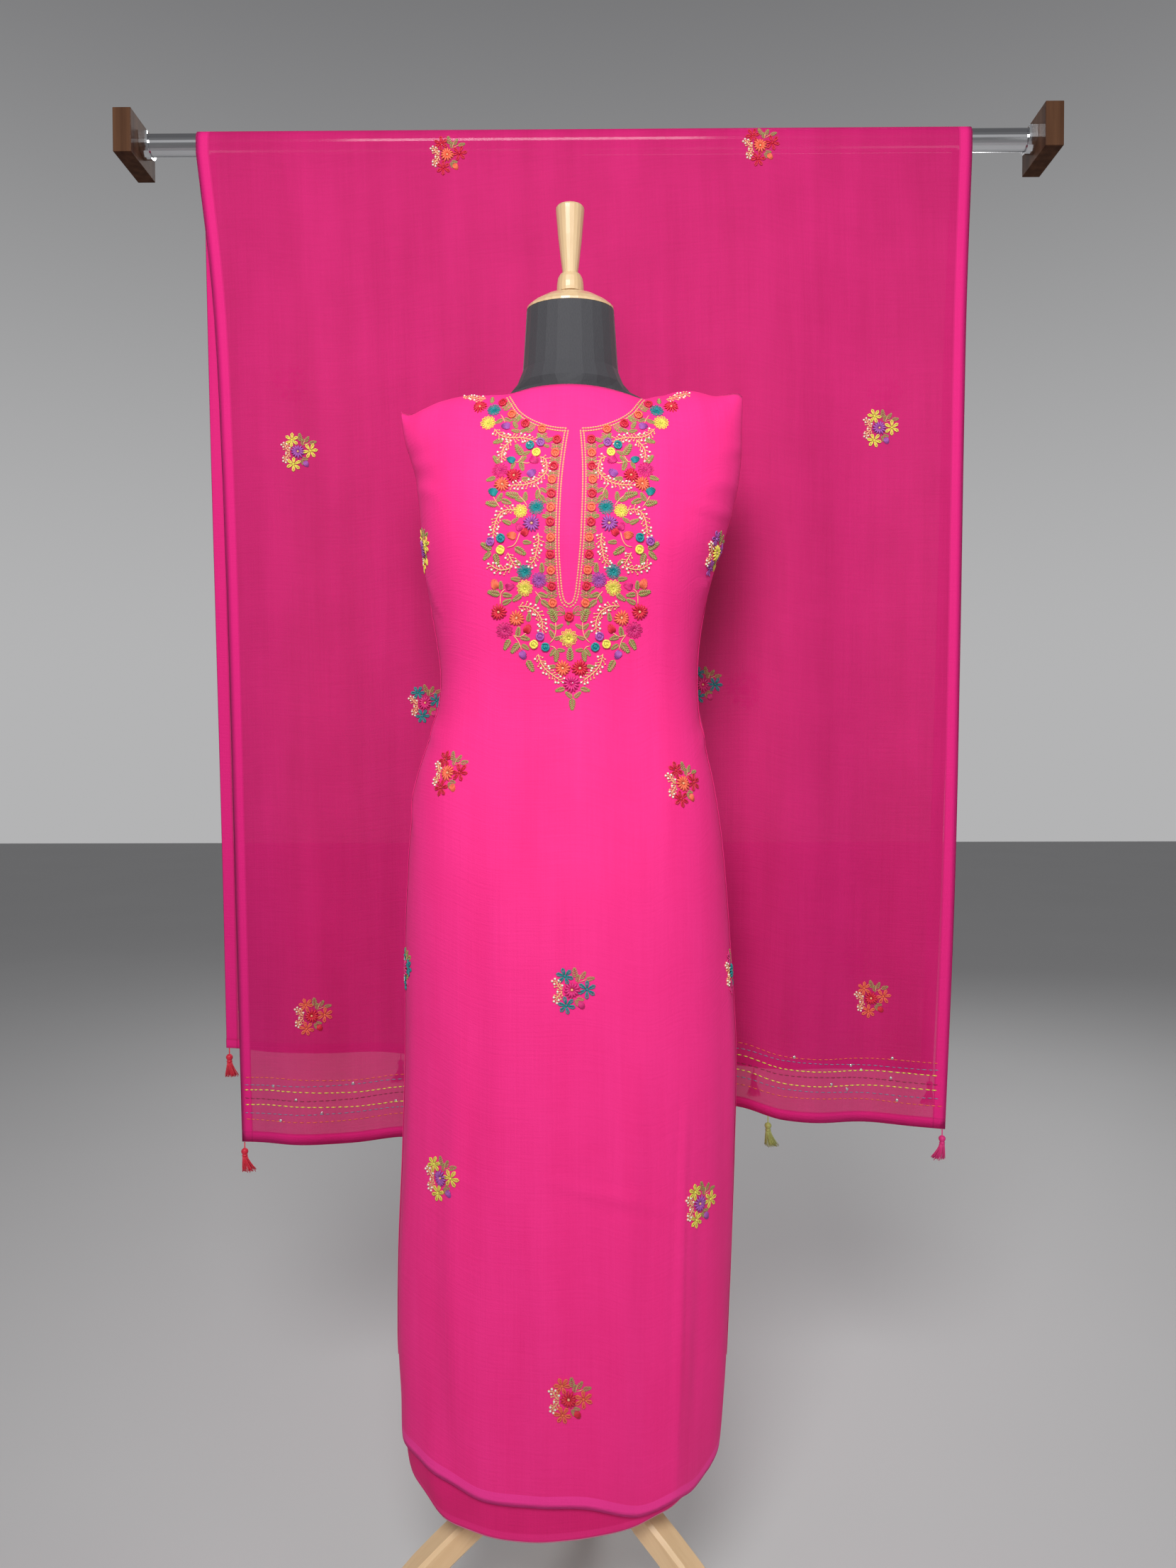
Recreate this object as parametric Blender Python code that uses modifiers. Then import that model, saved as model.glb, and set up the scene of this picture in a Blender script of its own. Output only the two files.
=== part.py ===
"""A salwar kameez suit as it is sold: unstitched suit cloth draped on a dress
form, with its dupatta folded over a rod behind. Metres, +Z up, the origin on
the floor under the middle of the whole. Angles round the form are in degrees:
0 is the front, 90 its right in the picture, 180 the back."""

import math

import bmesh
import bpy
from mathutils import Vector

# The stand.
LEG_SIZE = 0.030
LEG_CHAMFER = 0.004
FOOT_RADIUS = 0.276
LEG_ANGLES = (-67.5, 52.5, 172.5)
HUB_RADIUS = 0.036
HUB_BOTTOM, HUB_TOP = 0.205, 0.300
POLE_RADIUS = 0.0125

# The form's axis, which puts the whole in the middle from front to back.
LEG_TURN = math.radians(LEG_ANGLES[1])
REAR_TURN = math.radians(180.0 - LEG_ANGLES[2])
SOLE_HALF, SOLE_CUT = LEG_SIZE * 0.5, LEG_SIZE * 0.5 - LEG_CHAMFER
FRONT_REACH = (FOOT_RADIUS + SOLE_CUT) * math.cos(LEG_TURN) + SOLE_HALF * math.sin(LEG_TURN)
REAR_REACH = (FOOT_RADIUS + SOLE_HALF) * math.cos(REAR_TURN) + SOLE_CUT * math.sin(REAR_TURN)
FORM_X = -0.018
FORM_Y = (FRONT_REACH - REAR_REACH) * 0.5

# The rod and what holds it.
ROD_RADIUS = 0.01375
ROD_Y = FORM_Y + 0.189
ROD_Z = 1.797
BLOCK_THICK, BLOCK_DEEP, BLOCK_TALL = 0.023, 0.081, 0.055
BLOCK_OUTER = 0.595
CUP_WALL, CUP_LONG = 0.003, 0.011
CUP_SLACK = 0.0002
CUP_LIP = ROD_RADIUS * 0.8

# Cloth walls, the gap between cloths that lie on each other, and the gap
# between pieces that touch.
SUIT_WALL = 0.0012
DUPATTA_WALL = 0.0010
LAYER_GAP = 0.0018
SEAM_GAP = 0.0003

# The draped kameez, from the form's axis, by height.
LEFT, RIGHT, FRONT, BACK = 1, 2, 3, 4
DRAPE = (
    # height, left, right, front, back
    (0.190, 0.184, 0.156, 0.124, 0.150),
    (0.230, 0.195, 0.166, 0.127, 0.148),
    (0.290, 0.197, 0.172, 0.128, 0.144),
    (0.350, 0.200, 0.176, 0.128, 0.140),
    (0.450, 0.199, 0.180, 0.127, 0.134),
    (0.560, 0.194, 0.184, 0.126, 0.128),
    (0.680, 0.190, 0.186, 0.124, 0.122),
    (0.800, 0.189, 0.179, 0.122, 0.116),
    (0.870, 0.186, 0.174, 0.119, 0.112),
    (0.930, 0.182, 0.168, 0.113, 0.104),
    (0.980, 0.176, 0.160, 0.107, 0.097),
    (1.020, 0.164, 0.151, 0.102, 0.091),
    (1.060, 0.151, 0.144, 0.099, 0.088),
    (1.100, 0.147, 0.142, 0.100, 0.088),
    (1.150, 0.153, 0.146, 0.108, 0.091),
    (1.200, 0.162, 0.157, 0.117, 0.096),
    (1.245, 0.167, 0.172, 0.121, 0.100),
    (1.290, 0.171, 0.185, 0.114, 0.102),
    (1.330, 0.176, 0.192, 0.102, 0.100),
    (1.375, 0.187, 0.194, 0.094, 0.095),
    (1.417, 0.194, 0.196, 0.090, 0.090),
)
RING_POWER = 2.2

# The cloth closes over the shoulders between these heights, and passes the
# neck base in an arc, this far to each side and in front of the axis.
SHOULDER_START, SHOULDER_TOP = 1.330, 1.417
NECK_PASS_X, NECK_PASS_Y = 0.105, 0.072
SEAM_HALF_GAP = 0.0011

# The soft folds below the hips: where the ridge is, its half-width in
# degrees, how far it stands out and the height where it starts.
FOLDS = (
    # angle, half-width, ridge, top
    (-152.0, 13.0, 0.007, 0.78),
    (-118.0, 11.0, 0.006, 0.62),
    (-64.0, 10.0, 0.005, 0.60),
    (-27.0, 9.0, 0.003, 0.50),
    (8.0, 10.0, 0.003, 0.42),
    (36.0, 8.0, 0.006, 0.74),
    (68.0, 10.0, 0.004, 0.58),
    (112.0, 12.0, 0.006, 0.66),
    (146.0, 12.0, 0.007, 0.80),
)
FOLD_FULL = 0.250
# Where the cloth rides over the legs, in the same columns.
LEG_RIDES = (
    (-46.0, 10.0, 0.0080, 0.34),
    (46.0, 10.0, 0.0035, 0.34),
    (180.0, 12.0, 0.0160, 0.36),
)
RIDE_FULL = 0.200

# Heights of the kameez rows, from the hem to the shoulders, and how far its
# edges wrap round, low down and beside the open armholes.
KAMEEZ_ROWS = (0.215, 0.270, 0.330, 0.430, 0.540, 0.660, 0.780, 0.850, 0.915, 0.970, 1.015,
               1.060, 1.105, 1.155, 1.205, 1.250, 1.290, 1.330, 1.362, 1.388, 1.405, 1.417)
FRONT_STEP, FRONT_STEPS = 7.5, 10
FRONT_WRAP, FRONT_WRAP_ARMHOLE = 105.0, 80.0
BACK_STEP, BACK_STEPS = 12.5, 12
BACK_WRAP, BACK_WRAP_ARMHOLE = 97.5, 80.0
EDGE_START, FRONT_EDGE_STEPS, BACK_EDGE_STEPS = 75.0, 4, 3
ARMHOLE_START, ARMHOLE_FULL = 1.150, 1.225
BACK_HEM = 0.330

# The hem heights from left to right, by angle, and the tops from left to
# right, by distance from the axis.
FRONT_HEM = (
    (-105.0, 0.256), (-80.0, 0.252), (-57.0, 0.247), (-40.0, 0.236), (-26.0, 0.223), (-8.0, 0.221),
    (5.0, 0.222), (24.0, 0.206), (38.0, 0.217), (52.0, 0.217), (75.0, 0.242), (105.0, 0.250),
)
TOP_LINE_START = 1.290
HEM_EASED = 0.430
TOP_LINE = (
    (-0.194, 1.4005), (-0.181, 1.3965), (-0.164, 1.4025), (-0.144, 1.4095), (-0.112, 1.4145),
    (-0.088, 1.4100), (-0.064, 1.4055), (-0.037, 1.4068), (0.000, 1.4070), (0.034, 1.4062),
    (0.061, 1.4043), (0.081, 1.4035), (0.096, 1.4100), (0.117, 1.4175), (0.138, 1.4190),
    (0.159, 1.4150), (0.174, 1.4165), (0.188, 1.4180), (0.196, 1.4130),
)

# The salwar cloth: rows, how far it lies inside the kameez and where its
# edges end at the back.
SALWAR_ROWS = (0.190, 0.250, 0.330, 0.430, 0.540, 0.660, 0.780, 0.850, 0.915, 0.970, 1.015, 1.060)
SALWAR_HEM = (
    (-176.0, 0.216), (-120.0, 0.220), (-75.0, 0.220), (-60.0, 0.208), (-45.0, 0.188), (-30.0, 0.181),
    (-10.0, 0.179), (8.0, 0.188), (24.0, 0.192), (35.0, 0.205), (60.0, 0.218), (120.0, 0.220),
    (176.0, 0.216),
)
SALWAR_HEM_INSET = 0.0015
SALWAR_END = 176.0
SALWAR_COLUMNS = 32

# The form's torso: half-width, front and back depth from its axis, and the
# power of its section.
TORSO_INSET_LOW = 0.0054
TORSO_ROWS_LOW = (0.800, 0.850, 0.915, 0.970, 1.015, 1.060)
TORSO_TOP = (
    # height, half-width, front, back, power
    (1.105, 0.1385, 0.0970, 0.0840, 2.2),
    (1.155, 0.1440, 0.1065, 0.0880, 2.2),
    (1.205, 0.1510, 0.1155, 0.0940, 2.2),
    (1.250, 0.1560, 0.1185, 0.0980, 2.2),
    (1.290, 0.1590, 0.1110, 0.0995, 2.2),
    (1.330, 0.1600, 0.0980, 0.0960, 2.2),
    (1.362, 0.1560, 0.0800, 0.0830, 2.0),
    (1.388, 0.1430, 0.0660, 0.0680, 1.6),
    (1.403, 0.1160, 0.0570, 0.0580, 1.3),
    (1.4110, 0.0850, 0.0545, 0.0535, 1.35),
    (1.4170, 0.0700, 0.0545, 0.0535, 1.6),
    (1.4250, 0.0610, 0.0545, 0.0545, 2.0),
    (1.4420, 0.0540, 0.0490, 0.0520, 2.0),
    (1.4630, 0.0524, 0.0450, 0.0490, 2.0),
    (1.5110, 0.0492, 0.0389, 0.0423, 2.0),
)
TORSO_COLUMNS = 24

# The neck cap, as shallow from front to back as the neck under it.
CAP_ROWS = (
    # height, half-width
    (1.5113, 0.0493),
    (1.5140, 0.0489),
    (1.5195, 0.0425),
    (1.5265, 0.0300),
    (1.5310, 0.0140),
)
CAP_FRONT, CAP_BACK = 0.79, 0.86
CAP_COLUMNS = 32
FINIAL_FOOT = 1.5313

# The dupatta: side edges by height, and hems by distance along the rod.
FRONT_SIDES = (
    # height, left, right
    (0.510, -0.4515, 0.4555),
    (0.840, -0.4580, 0.4675),
    (1.130, -0.4635, 0.4735),
    (1.410, -0.4710, 0.4780),
    (1.600, -0.4800, 0.4820),
    (1.780, -0.4990, 0.4890),
)
BACK_SIDES = (
    (0.600, -0.4860, 0.4520),
    (0.840, -0.4880, 0.4620),
    (1.130, -0.4920, 0.4700),
    (1.410, -0.4960, 0.4760),
    (1.600, -0.4980, 0.4810),
    (1.780, -0.4990, 0.4890),
)
FRONT_FALL_HEM = (
    (-0.452, 0.509), (-0.400, 0.512), (-0.310, 0.506), (-0.240, 0.515),
    (0.000, 0.540), (0.190, 0.556), (0.250, 0.542), (0.340, 0.533), (0.456, 0.530),
)
BACK_FALL_HEM = ((-0.486, 0.620), (-0.200, 0.612), (0.150, 0.600), (0.452, 0.588))
FALL_ROWS = (1.0, 0.86, 0.68, 0.50, 0.32, 0.16, 0.06, 0.0)
FALL_COLUMNS = 30
FALL_DROP = 0.017
WRAP_INNER = 0.0146
WRAP_STEPS = 8
WRAP_COLUMNS = 6
FRONT_LOW, BACK_LOW = 0.530, 0.600
WAVE_LENGTH = 0.225
WAVE_DRIFT, WAVE_DRIFT_RATE, WAVE_DRIFT_START = 0.9, 2.1, 0.6
FRONT_WAVE, BACK_WAVE = 0.013, 0.009
FRONT_LEAN, BACK_LEAN = 0.006, 0.004
LOOSE_POWER = 0.8

# The tassels: rings of thread, head and neck, from the hem down.
TASSEL_RINGS = (
    # radius, drop
    (0.0007, 0.0005),
    (0.0007, 0.0080),
    (0.0030, 0.0088),
    (0.0045, 0.0120),
    (0.0040, 0.0155),
    (0.0027, 0.0172),
    (0.0047, 0.0186),
    (0.0027, 0.0198),
)
TASSEL_SIDES = 6
TASSEL_PLACES = (0.004, 0.25, 0.5, 0.75, 0.996)
LOCK_LENGTH = 0.0195
LOCK_SPREAD_OUTER, LOCK_SPREAD_INNER = 0.26, 0.10
LOCK_INSET, LOCK_TAPER = 0.00035, 0.8
LOCK_UNEVEN, LOCK_UNEVEN_RATE = 0.0015, 7.0
TASSEL_LEAN, TASSEL_LEAN_STEP, BACK_LEAN_SHIFT = 0.16, 2.3, 1.0

# Colours and finishes: base colour, roughness, metallic.
PINK = ((0.90, 0.03, 0.22), 0.75, 0.0)
DEEP_PINK = ((0.62, 0.015, 0.13), 0.75, 0.0)
SHEER_PINK = ((0.75, 0.02, 0.17), 0.6, 0.0)
CHARCOAL = ((0.045, 0.048, 0.052), 0.85, 0.0)
PALE_WOOD = ((0.72, 0.50, 0.28), 0.35, 0.0)
WALNUT = ((0.16, 0.08, 0.04), 0.45, 0.0)
CHROME = ((0.80, 0.81, 0.83), 0.12, 1.0)
TASSEL_COLOURS = (
    ("red", (0.60, 0.02, 0.05)),
    ("teal", (0.01, 0.30, 0.34)),
    ("yellow", (0.78, 0.62, 0.06)),
    ("olive", (0.20, 0.26, 0.04)),
    ("magenta", (0.62, 0.02, 0.14)),
)


def clear_scene():
    """Removes what a new file holds."""
    for item in list(bpy.data.objects):
        bpy.data.objects.remove(item)


def finish(name, look):
    """A material with its colour, roughness and metallic value."""
    colour, roughness, metallic = look
    material = bpy.data.materials.new(name)
    material.use_nodes = True
    shader = material.node_tree.nodes["Principled BSDF"]
    shader.inputs["Base Color"].default_value = (*colour, 1.0)
    shader.inputs["Roughness"].default_value = roughness
    shader.inputs["Metallic"].default_value = metallic
    return material


def keep(name, mesh, look, smooth=40.0):
    """Puts a mesh in the suit's collection under its own name."""
    item = bpy.data.objects.new(name, mesh)
    SUIT.objects.link(item)
    mesh.materials.clear()
    mesh.materials.append(finish(name + "_finish", look))
    mesh.shade_smooth()
    mesh.set_sharp_from_angle(angle=math.radians(smooth))
    return item


def read(table, at, column=1):
    """One column of a table, as a smooth curve through its rows."""
    def slope(index):
        low, high = max(index - 1, 0), min(index + 1, len(table) - 1)
        rise = table[high][column] - table[low][column]
        return rise / (table[high][0] - table[low][0])

    row = 0
    while row < len(table) - 2 and at > table[row + 1][0]:
        row += 1
    span = table[row + 1][0] - table[row][0]
    t = min(max((at - table[row][0]) / span, 0.0), 1.0)
    start, end = table[row][column], table[row + 1][column]
    keep_start = 2 * t ** 3 - 3 * t ** 2 + 1
    leave = (t ** 3 - 2 * t ** 2 + t) * span * slope(row)
    arrive = (t ** 3 - t ** 2) * span * slope(row + 1)
    return keep_start * start + (1 - keep_start) * end + leave + arrive


def ramp(value, start, end):
    """Rises softly from 0 at the start to 1 at the end."""
    t = min(max((value - start) / (end - start), 0.0), 1.0)
    return t * t * (3 - 2 * t)


def section(angle, side, depth, power):
    """A point of a superellipse round the axis."""
    turn = math.radians(angle)
    across, along = math.sin(turn), math.cos(turn)
    x = math.copysign(side * abs(across) ** (2 / power), across)
    y = -math.copysign(depth * abs(along) ** (2 / power), along)
    return x, y


def fold_height(angle, height):
    """How far the folds stand out at a place on the draped cloth."""
    total = 0.0
    for table, full in ((FOLDS, FOLD_FULL), (LEG_RIDES, RIDE_FULL)):
        for place, half, ridge, top in table:
            away = min(abs(angle - place), 360.0 - abs(angle - place)) / half
            total += ridge * math.exp(-away ** 2) * (1 - ramp(height, full, top))
    return total


def draped(angle, height, out):
    """A point of the draped cloth round the form, moved out by a distance."""
    right, front = math.sin(math.radians(angle)) > 0, math.cos(math.radians(angle)) > 0
    side = read(DRAPE, height, RIGHT if right else LEFT) + out
    depth = read(DRAPE, height, FRONT if front else BACK) + out
    x, y = section(angle, side, depth, RING_POWER)
    grow = 1 + fold_height(angle, height) / math.hypot(x, y)
    x, y = x * grow, y * grow
    if height > SHOULDER_START:
        rise = (height - SHOULDER_START) / (SHOULDER_TOP - SHOULDER_START)
        edge = SEAM_HALF_GAP + NECK_PASS_Y * max(1 - (x / NECK_PASS_X) ** 2, 0.0)
        depth_here = edge + (abs(y) - edge) * math.sqrt(max(1 - rise * rise, 0.0))
        y = math.copysign(depth_here, y)
    return Vector((FORM_X + x, FORM_Y + y, height))


def topped(point):
    """Lifts a point near the shoulders to the kameez's top line."""
    shift = read(TOP_LINE, point.x - FORM_X) - SHOULDER_TOP
    point.z += shift * ramp(point.z, TOP_LINE_START, SHOULDER_TOP)
    return point


def sheet(name, rows, wall, look):
    """A cloth: a grid of points, row by row upward, with the wall inside it."""
    mesh = bpy.data.meshes.new(name)
    across = len(rows[0])
    points = [point for row in rows for point in row]
    faces = []
    for low in range(len(rows) - 1):
        for column in range(across - 1):
            corner = low * across + column
            faces.append((corner, corner + 1, corner + across + 1, corner + across))
    mesh.from_pydata(points, [], faces)
    item = keep(name, mesh, look, smooth=60.0)
    solid = item.modifiers.new("wall", "SOLIDIFY")
    solid.thickness = wall
    solid.offset = -1.0
    return item


def front_angles(height):
    """The front length's columns, closer together beside the armholes."""
    wrap = FRONT_WRAP + (FRONT_WRAP_ARMHOLE - FRONT_WRAP) * ramp(height, ARMHOLE_START, ARMHOLE_FULL)
    inner = [FRONT_STEP * step for step in range(FRONT_STEPS + 1)]
    outer = [EDGE_START + (wrap - EDGE_START) * step / FRONT_EDGE_STEPS
             for step in range(1, FRONT_EDGE_STEPS + 1)]
    right = inner + outer
    return [-angle for angle in reversed(right[1:])] + right


def back_angles(height):
    """The back length's columns, from its right edge round to its left."""
    wrap = BACK_WRAP + (BACK_WRAP_ARMHOLE - BACK_WRAP) * ramp(height, ARMHOLE_START, ARMHOLE_FULL)
    edge = [180.0 - wrap + (wrap - EDGE_START) * step / BACK_EDGE_STEPS for step in range(BACK_EDGE_STEPS)]
    middle = [180.0 - EDGE_START + BACK_STEP * step for step in range(BACK_STEPS + 1)]
    far_edge = [360.0 - angle for angle in reversed(edge)]
    return edge + middle + far_edge


def kameez_front():
    """The front length, from the hem up to the neck and shoulders."""
    rows = []
    for height in KAMEEZ_ROWS:
        row = []
        for angle in front_angles(height):
            hem_shift = read(FRONT_HEM, angle) - KAMEEZ_ROWS[0]
            low = height + hem_shift * (1 - ramp(height, KAMEEZ_ROWS[0], HEM_EASED))
            row.append(topped(draped(angle, low, 0.0)))
        rows.append(row)
    sheet("kameez_front", rows, SUIT_WALL, PINK)


def kameez_back():
    """The back length, outside the front one at the sides."""
    out = SUIT_WALL + LAYER_GAP
    rows = []
    for height in [level for level in KAMEEZ_ROWS if level >= BACK_HEM]:
        row = []
        for angle in back_angles(height):
            around = angle if angle <= 180.0 else angle - 360.0
            row.append(topped(draped(around, height, out)))
        rows.append(row)
    sheet("kameez_back", rows, SUIT_WALL, PINK)


def salwar_cloth():
    """The uncut salwar cloth, wound once round the form under the kameez."""
    rows = []
    step = 2 * SALWAR_END / SALWAR_COLUMNS
    for height in SALWAR_ROWS:
        row = []
        for column in range(SALWAR_COLUMNS + 1):
            angle = -SALWAR_END + step * column
            hem_shift = read(SALWAR_HEM, angle) - SALWAR_ROWS[0]
            loose = 1 - ramp(height, SALWAR_ROWS[0], HEM_EASED)
            inside = SUIT_WALL + LAYER_GAP + SALWAR_HEM_INSET * loose
            row.append(draped(angle, height + hem_shift * loose, -inside))
        rows.append(row)
    sheet("salwar_cloth", rows, SUIT_WALL, DEEP_PINK)


def loft(name, rings, look, smooth=40.0):
    """A closed body through rings of points, from one flat end to the other."""
    shape = bmesh.new()
    loops = [[shape.verts.new(point) for point in ring] for ring in rings]
    count = len(rings[0])
    for low, high in zip(loops, loops[1:]):
        for side in range(count):
            nxt = (side + 1) % count
            shape.faces.new((low[side], low[nxt], high[nxt], high[side]))
    shape.faces.new(list(reversed(loops[0])))
    shape.faces.new(loops[-1])
    bmesh.ops.recalc_face_normals(shape, faces=shape.faces)
    mesh = bpy.data.meshes.new(name)
    shape.to_mesh(mesh)
    shape.free()
    return keep(name, mesh, look, smooth)


def oval(height, side, front, back, power, columns):
    """A ring round the form's axis, with its own depth in front and behind."""
    ring = []
    for step in range(columns):
        angle = 360.0 * step / columns
        depth = front if math.cos(math.radians(angle)) > 0 else back
        x, y = section(angle, side, depth, power)
        ring.append(Vector((FORM_X + x, FORM_Y + y, height)))
    return ring


def torso():
    """The form's cloth-covered torso and neck."""
    levels = []
    for height in TORSO_ROWS_LOW:
        side = read(DRAPE, height, RIGHT) - TORSO_INSET_LOW
        front = read(DRAPE, height, FRONT) - TORSO_INSET_LOW
        back = read(DRAPE, height, BACK) - TORSO_INSET_LOW
        levels.append((height, side, front, back, RING_POWER))
    levels.extend(TORSO_TOP)
    rings = [oval(*level, TORSO_COLUMNS) for level in levels]
    loft("form_torso", rings, CHARCOAL, smooth=60.0)


def turned(name, profile, steps, look, place):
    """A turned piece: its profile runs down its outer side, top to bottom."""
    mesh = bpy.data.meshes.new(name)
    points = [(radius, 0.0, height) for radius, height in profile]
    mesh.from_pydata(points, [(i, i + 1) for i in range(len(points) - 1)], [])
    item = keep(name, mesh, look)
    item.location = place
    screw = item.modifiers.new("turn", "SCREW")
    screw.steps = screw.render_steps = steps
    screw.use_merge_vertices = True
    screw.merge_threshold = 0.00005
    screw.use_smooth_shade = True
    return item


def form_top():
    """The wood cap on the neck, and the finial on the cap."""
    rings = [oval(height, side, side * CAP_FRONT, side * CAP_BACK, 2.0, CAP_COLUMNS)
             for height, side in CAP_ROWS]
    loft("form_neck_cap", rings, PALE_WOOD, smooth=60.0)
    finial = ((0.0, 1.6271), (0.0148, 1.6271), (0.0161, 1.6251), (0.0159, 1.6211),
              (0.0134, 1.5925), (0.0103, 1.5660), (0.0086, 1.5533), (0.0116, 1.5514),
              (0.0140, 1.5470), (0.0150, 1.5410), (0.0153, 1.5350), (0.0149, FINIAL_FOOT),
              (0.0, FINIAL_FOOT))
    turned("form_finial", finial, 20, PALE_WOOD, (FORM_X, FORM_Y, 0.0))


def cylinder(name, radius, start, end, sides, look):
    """A round bar between two points."""
    shape = bmesh.new()
    along = Vector(end) - Vector(start)
    bmesh.ops.create_cone(shape, cap_ends=True, segments=sides, radius1=radius, radius2=radius,
                          depth=along.length)
    mesh = bpy.data.meshes.new(name)
    shape.to_mesh(mesh)
    shape.free()
    item = keep(name, mesh, look)
    item.rotation_mode = "QUATERNION"
    item.rotation_quaternion = along.to_track_quat("Z", "Y")
    item.location = (Vector(start) + Vector(end)) * 0.5
    return item


def form_stand():
    """The pole, the hub and three curved legs."""
    top = TORSO_ROWS_LOW[0] - SEAM_GAP
    cylinder("form_pole", POLE_RADIUS, (FORM_X, FORM_Y, HUB_TOP + SEAM_GAP), (FORM_X, FORM_Y, top),
             20, CHROME)
    hub = ((0.0, HUB_TOP), (HUB_RADIUS - 0.006, HUB_TOP), (HUB_RADIUS, HUB_TOP - 0.008),
           (HUB_RADIUS, HUB_BOTTOM + 0.010), (HUB_RADIUS - 0.010, HUB_BOTTOM), (0.0, HUB_BOTTOM))
    turned("form_hub", hub, 24, PALE_WOOD, (FORM_X, FORM_Y, 0.0))
    path = (
        # distance from the axis, height, lean of the section from upright
        (HUB_RADIUS + SEAM_GAP, 0.250, 90.0),
        (0.058, 0.220, 60.0),
        (0.080, 0.187, 50.0),
        (0.104, 0.166, 53.0),
        (0.130, 0.149, 56.0),
        (0.153, 0.133, 54.0),
        (0.177, 0.115, 51.0),
        (0.207, 0.088, 47.0),
        (0.238, 0.055, 41.0),
        (0.262, 0.025, 25.0),
        (FOOT_RADIUS, 0.0, 0.0),
    )
    half, cut = LEG_SIZE / 2, LEG_CHAMFER
    outline = ((half, half - cut), (half - cut, half), (cut - half, half), (-half, half - cut),
               (-half, cut - half), (cut - half, -half), (half - cut, -half), (half, cut - half))
    for number, angle in enumerate(LEG_ANGLES, start=1):
        turn = math.radians(angle)
        away = Vector((math.sin(turn), -math.cos(turn), 0.0))
        beside = Vector((math.cos(turn), math.sin(turn), 0.0))
        rings = []
        for distance, height, lean in path:
            tilt = math.radians(lean)
            centre = Vector((FORM_X, FORM_Y, height)) + away * distance
            across = away * math.cos(tilt) + Vector((0.0, 0.0, math.sin(tilt)))
            rings.append([centre + across * u + beside * v for u, v in outline])
        loft("form_leg_{}".format(number), rings, PALE_WOOD)


def rod():
    """The chrome rod, the open cups that hold its ends and the wood blocks."""
    inner = BLOCK_OUTER - BLOCK_THICK
    reach = inner - SEAM_GAP
    cylinder("rod", ROD_RADIUS, (-reach, ROD_Y, ROD_Z), (reach, ROD_Y, ROD_Z), 28, CHROME)
    for name, side in (("left", -1.0), ("right", 1.0)):
        shape = bmesh.new()
        bmesh.ops.create_cube(shape, size=1.0)
        size = Vector((BLOCK_THICK, BLOCK_DEEP, BLOCK_TALL))
        bmesh.ops.scale(shape, vec=size, verts=shape.verts)
        mesh = bpy.data.meshes.new("rod_block_" + name)
        shape.to_mesh(mesh)
        shape.free()
        block = keep("rod_block_" + name, mesh, WALNUT)
        block.location = (side * (BLOCK_OUTER - BLOCK_THICK / 2), ROD_Y, ROD_Z)
        cup_rings = []
        hollow = ROD_RADIUS + SEAM_GAP + CUP_SLACK
        for x in (inner - SEAM_GAP, inner - SEAM_GAP - CUP_LONG):
            ring = [Vector((side * x, ROD_Y + y, ROD_Z + z)) for y, z in cup_outline(hollow)]
            cup_rings.append(ring)
        loft("rod_cup_" + name, cup_rings, CHROME)


def cup_outline(hollow):
    """A U that is open at the top, the outer side down and back up inside."""
    steps = 12
    outline = []
    for radius, order in ((hollow + CUP_WALL, range(steps + 1)),
                          (hollow, range(steps, -1, -1))):
        arc = [(radius * math.cos(math.pi * (1 + step / steps)),
                radius * math.sin(math.pi * (1 + step / steps))) for step in order]
        first, last = (arc[0][0], CUP_LIP), (arc[-1][0], CUP_LIP)
        outline.extend([first] + arc + [last])
    return outline


def fall_point(back, across, down):
    """A point of one of the dupatta's falls; across and down run 0 to 1."""
    sides = BACK_SIDES if back else FRONT_SIDES
    hem = BACK_FALL_HEM if back else FRONT_FALL_HEM
    top = ROD_Z - FALL_DROP - SEAM_GAP
    rough_height = top + ((BACK_LOW if back else FRONT_LOW) - top) * down
    left, right = read(sides, rough_height, 1), read(sides, rough_height, 2)
    x = left + (right - left) * across
    height = top + (read(hem, x) - top) * down
    loose = down ** LOOSE_POWER
    drift = WAVE_DRIFT * math.sin(WAVE_DRIFT_RATE * x + WAVE_DRIFT_START)
    wave = math.sin(math.tau * x / WAVE_LENGTH + drift) * loose
    out = WRAP_INNER + DUPATTA_WALL
    if back:
        y = out + BACK_LEAN * loose - BACK_WAVE * wave
    else:
        y = -out - FRONT_LEAN * loose - FRONT_WAVE * wave
    return Vector((x, ROD_Y + y, height))


def dupatta():
    """The front fall, the stretch over the rod and the back fall."""
    for name, back in (("dupatta_front_fall", False), ("dupatta_back_fall", True)):
        rows = []
        for down in FALL_ROWS:
            row = [fall_point(back, step / FALL_COLUMNS, down) for step in range(FALL_COLUMNS + 1)]
            rows.append(list(reversed(row)) if back else row)
        sheet(name, rows, DUPATTA_WALL, SHEER_PINK)
    out = WRAP_INNER + DUPATTA_WALL
    left, right = FRONT_SIDES[-1][1], FRONT_SIDES[-1][2]
    profile = [(-out, -FALL_DROP)]
    for step in range(WRAP_STEPS + 1):
        turn = math.pi * step / WRAP_STEPS
        profile.append((-out * math.cos(turn), out * math.sin(turn)))
    profile.append((out, -FALL_DROP))
    rows = []
    for y, z in profile:
        rows.append([Vector((left + (right - left) * step / WRAP_COLUMNS, ROD_Y + y, ROD_Z + z))
                     for step in range(WRAP_COLUMNS + 1)])
    sheet("dupatta_over_rod", rows, DUPATTA_WALL, SHEER_PINK)


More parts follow.
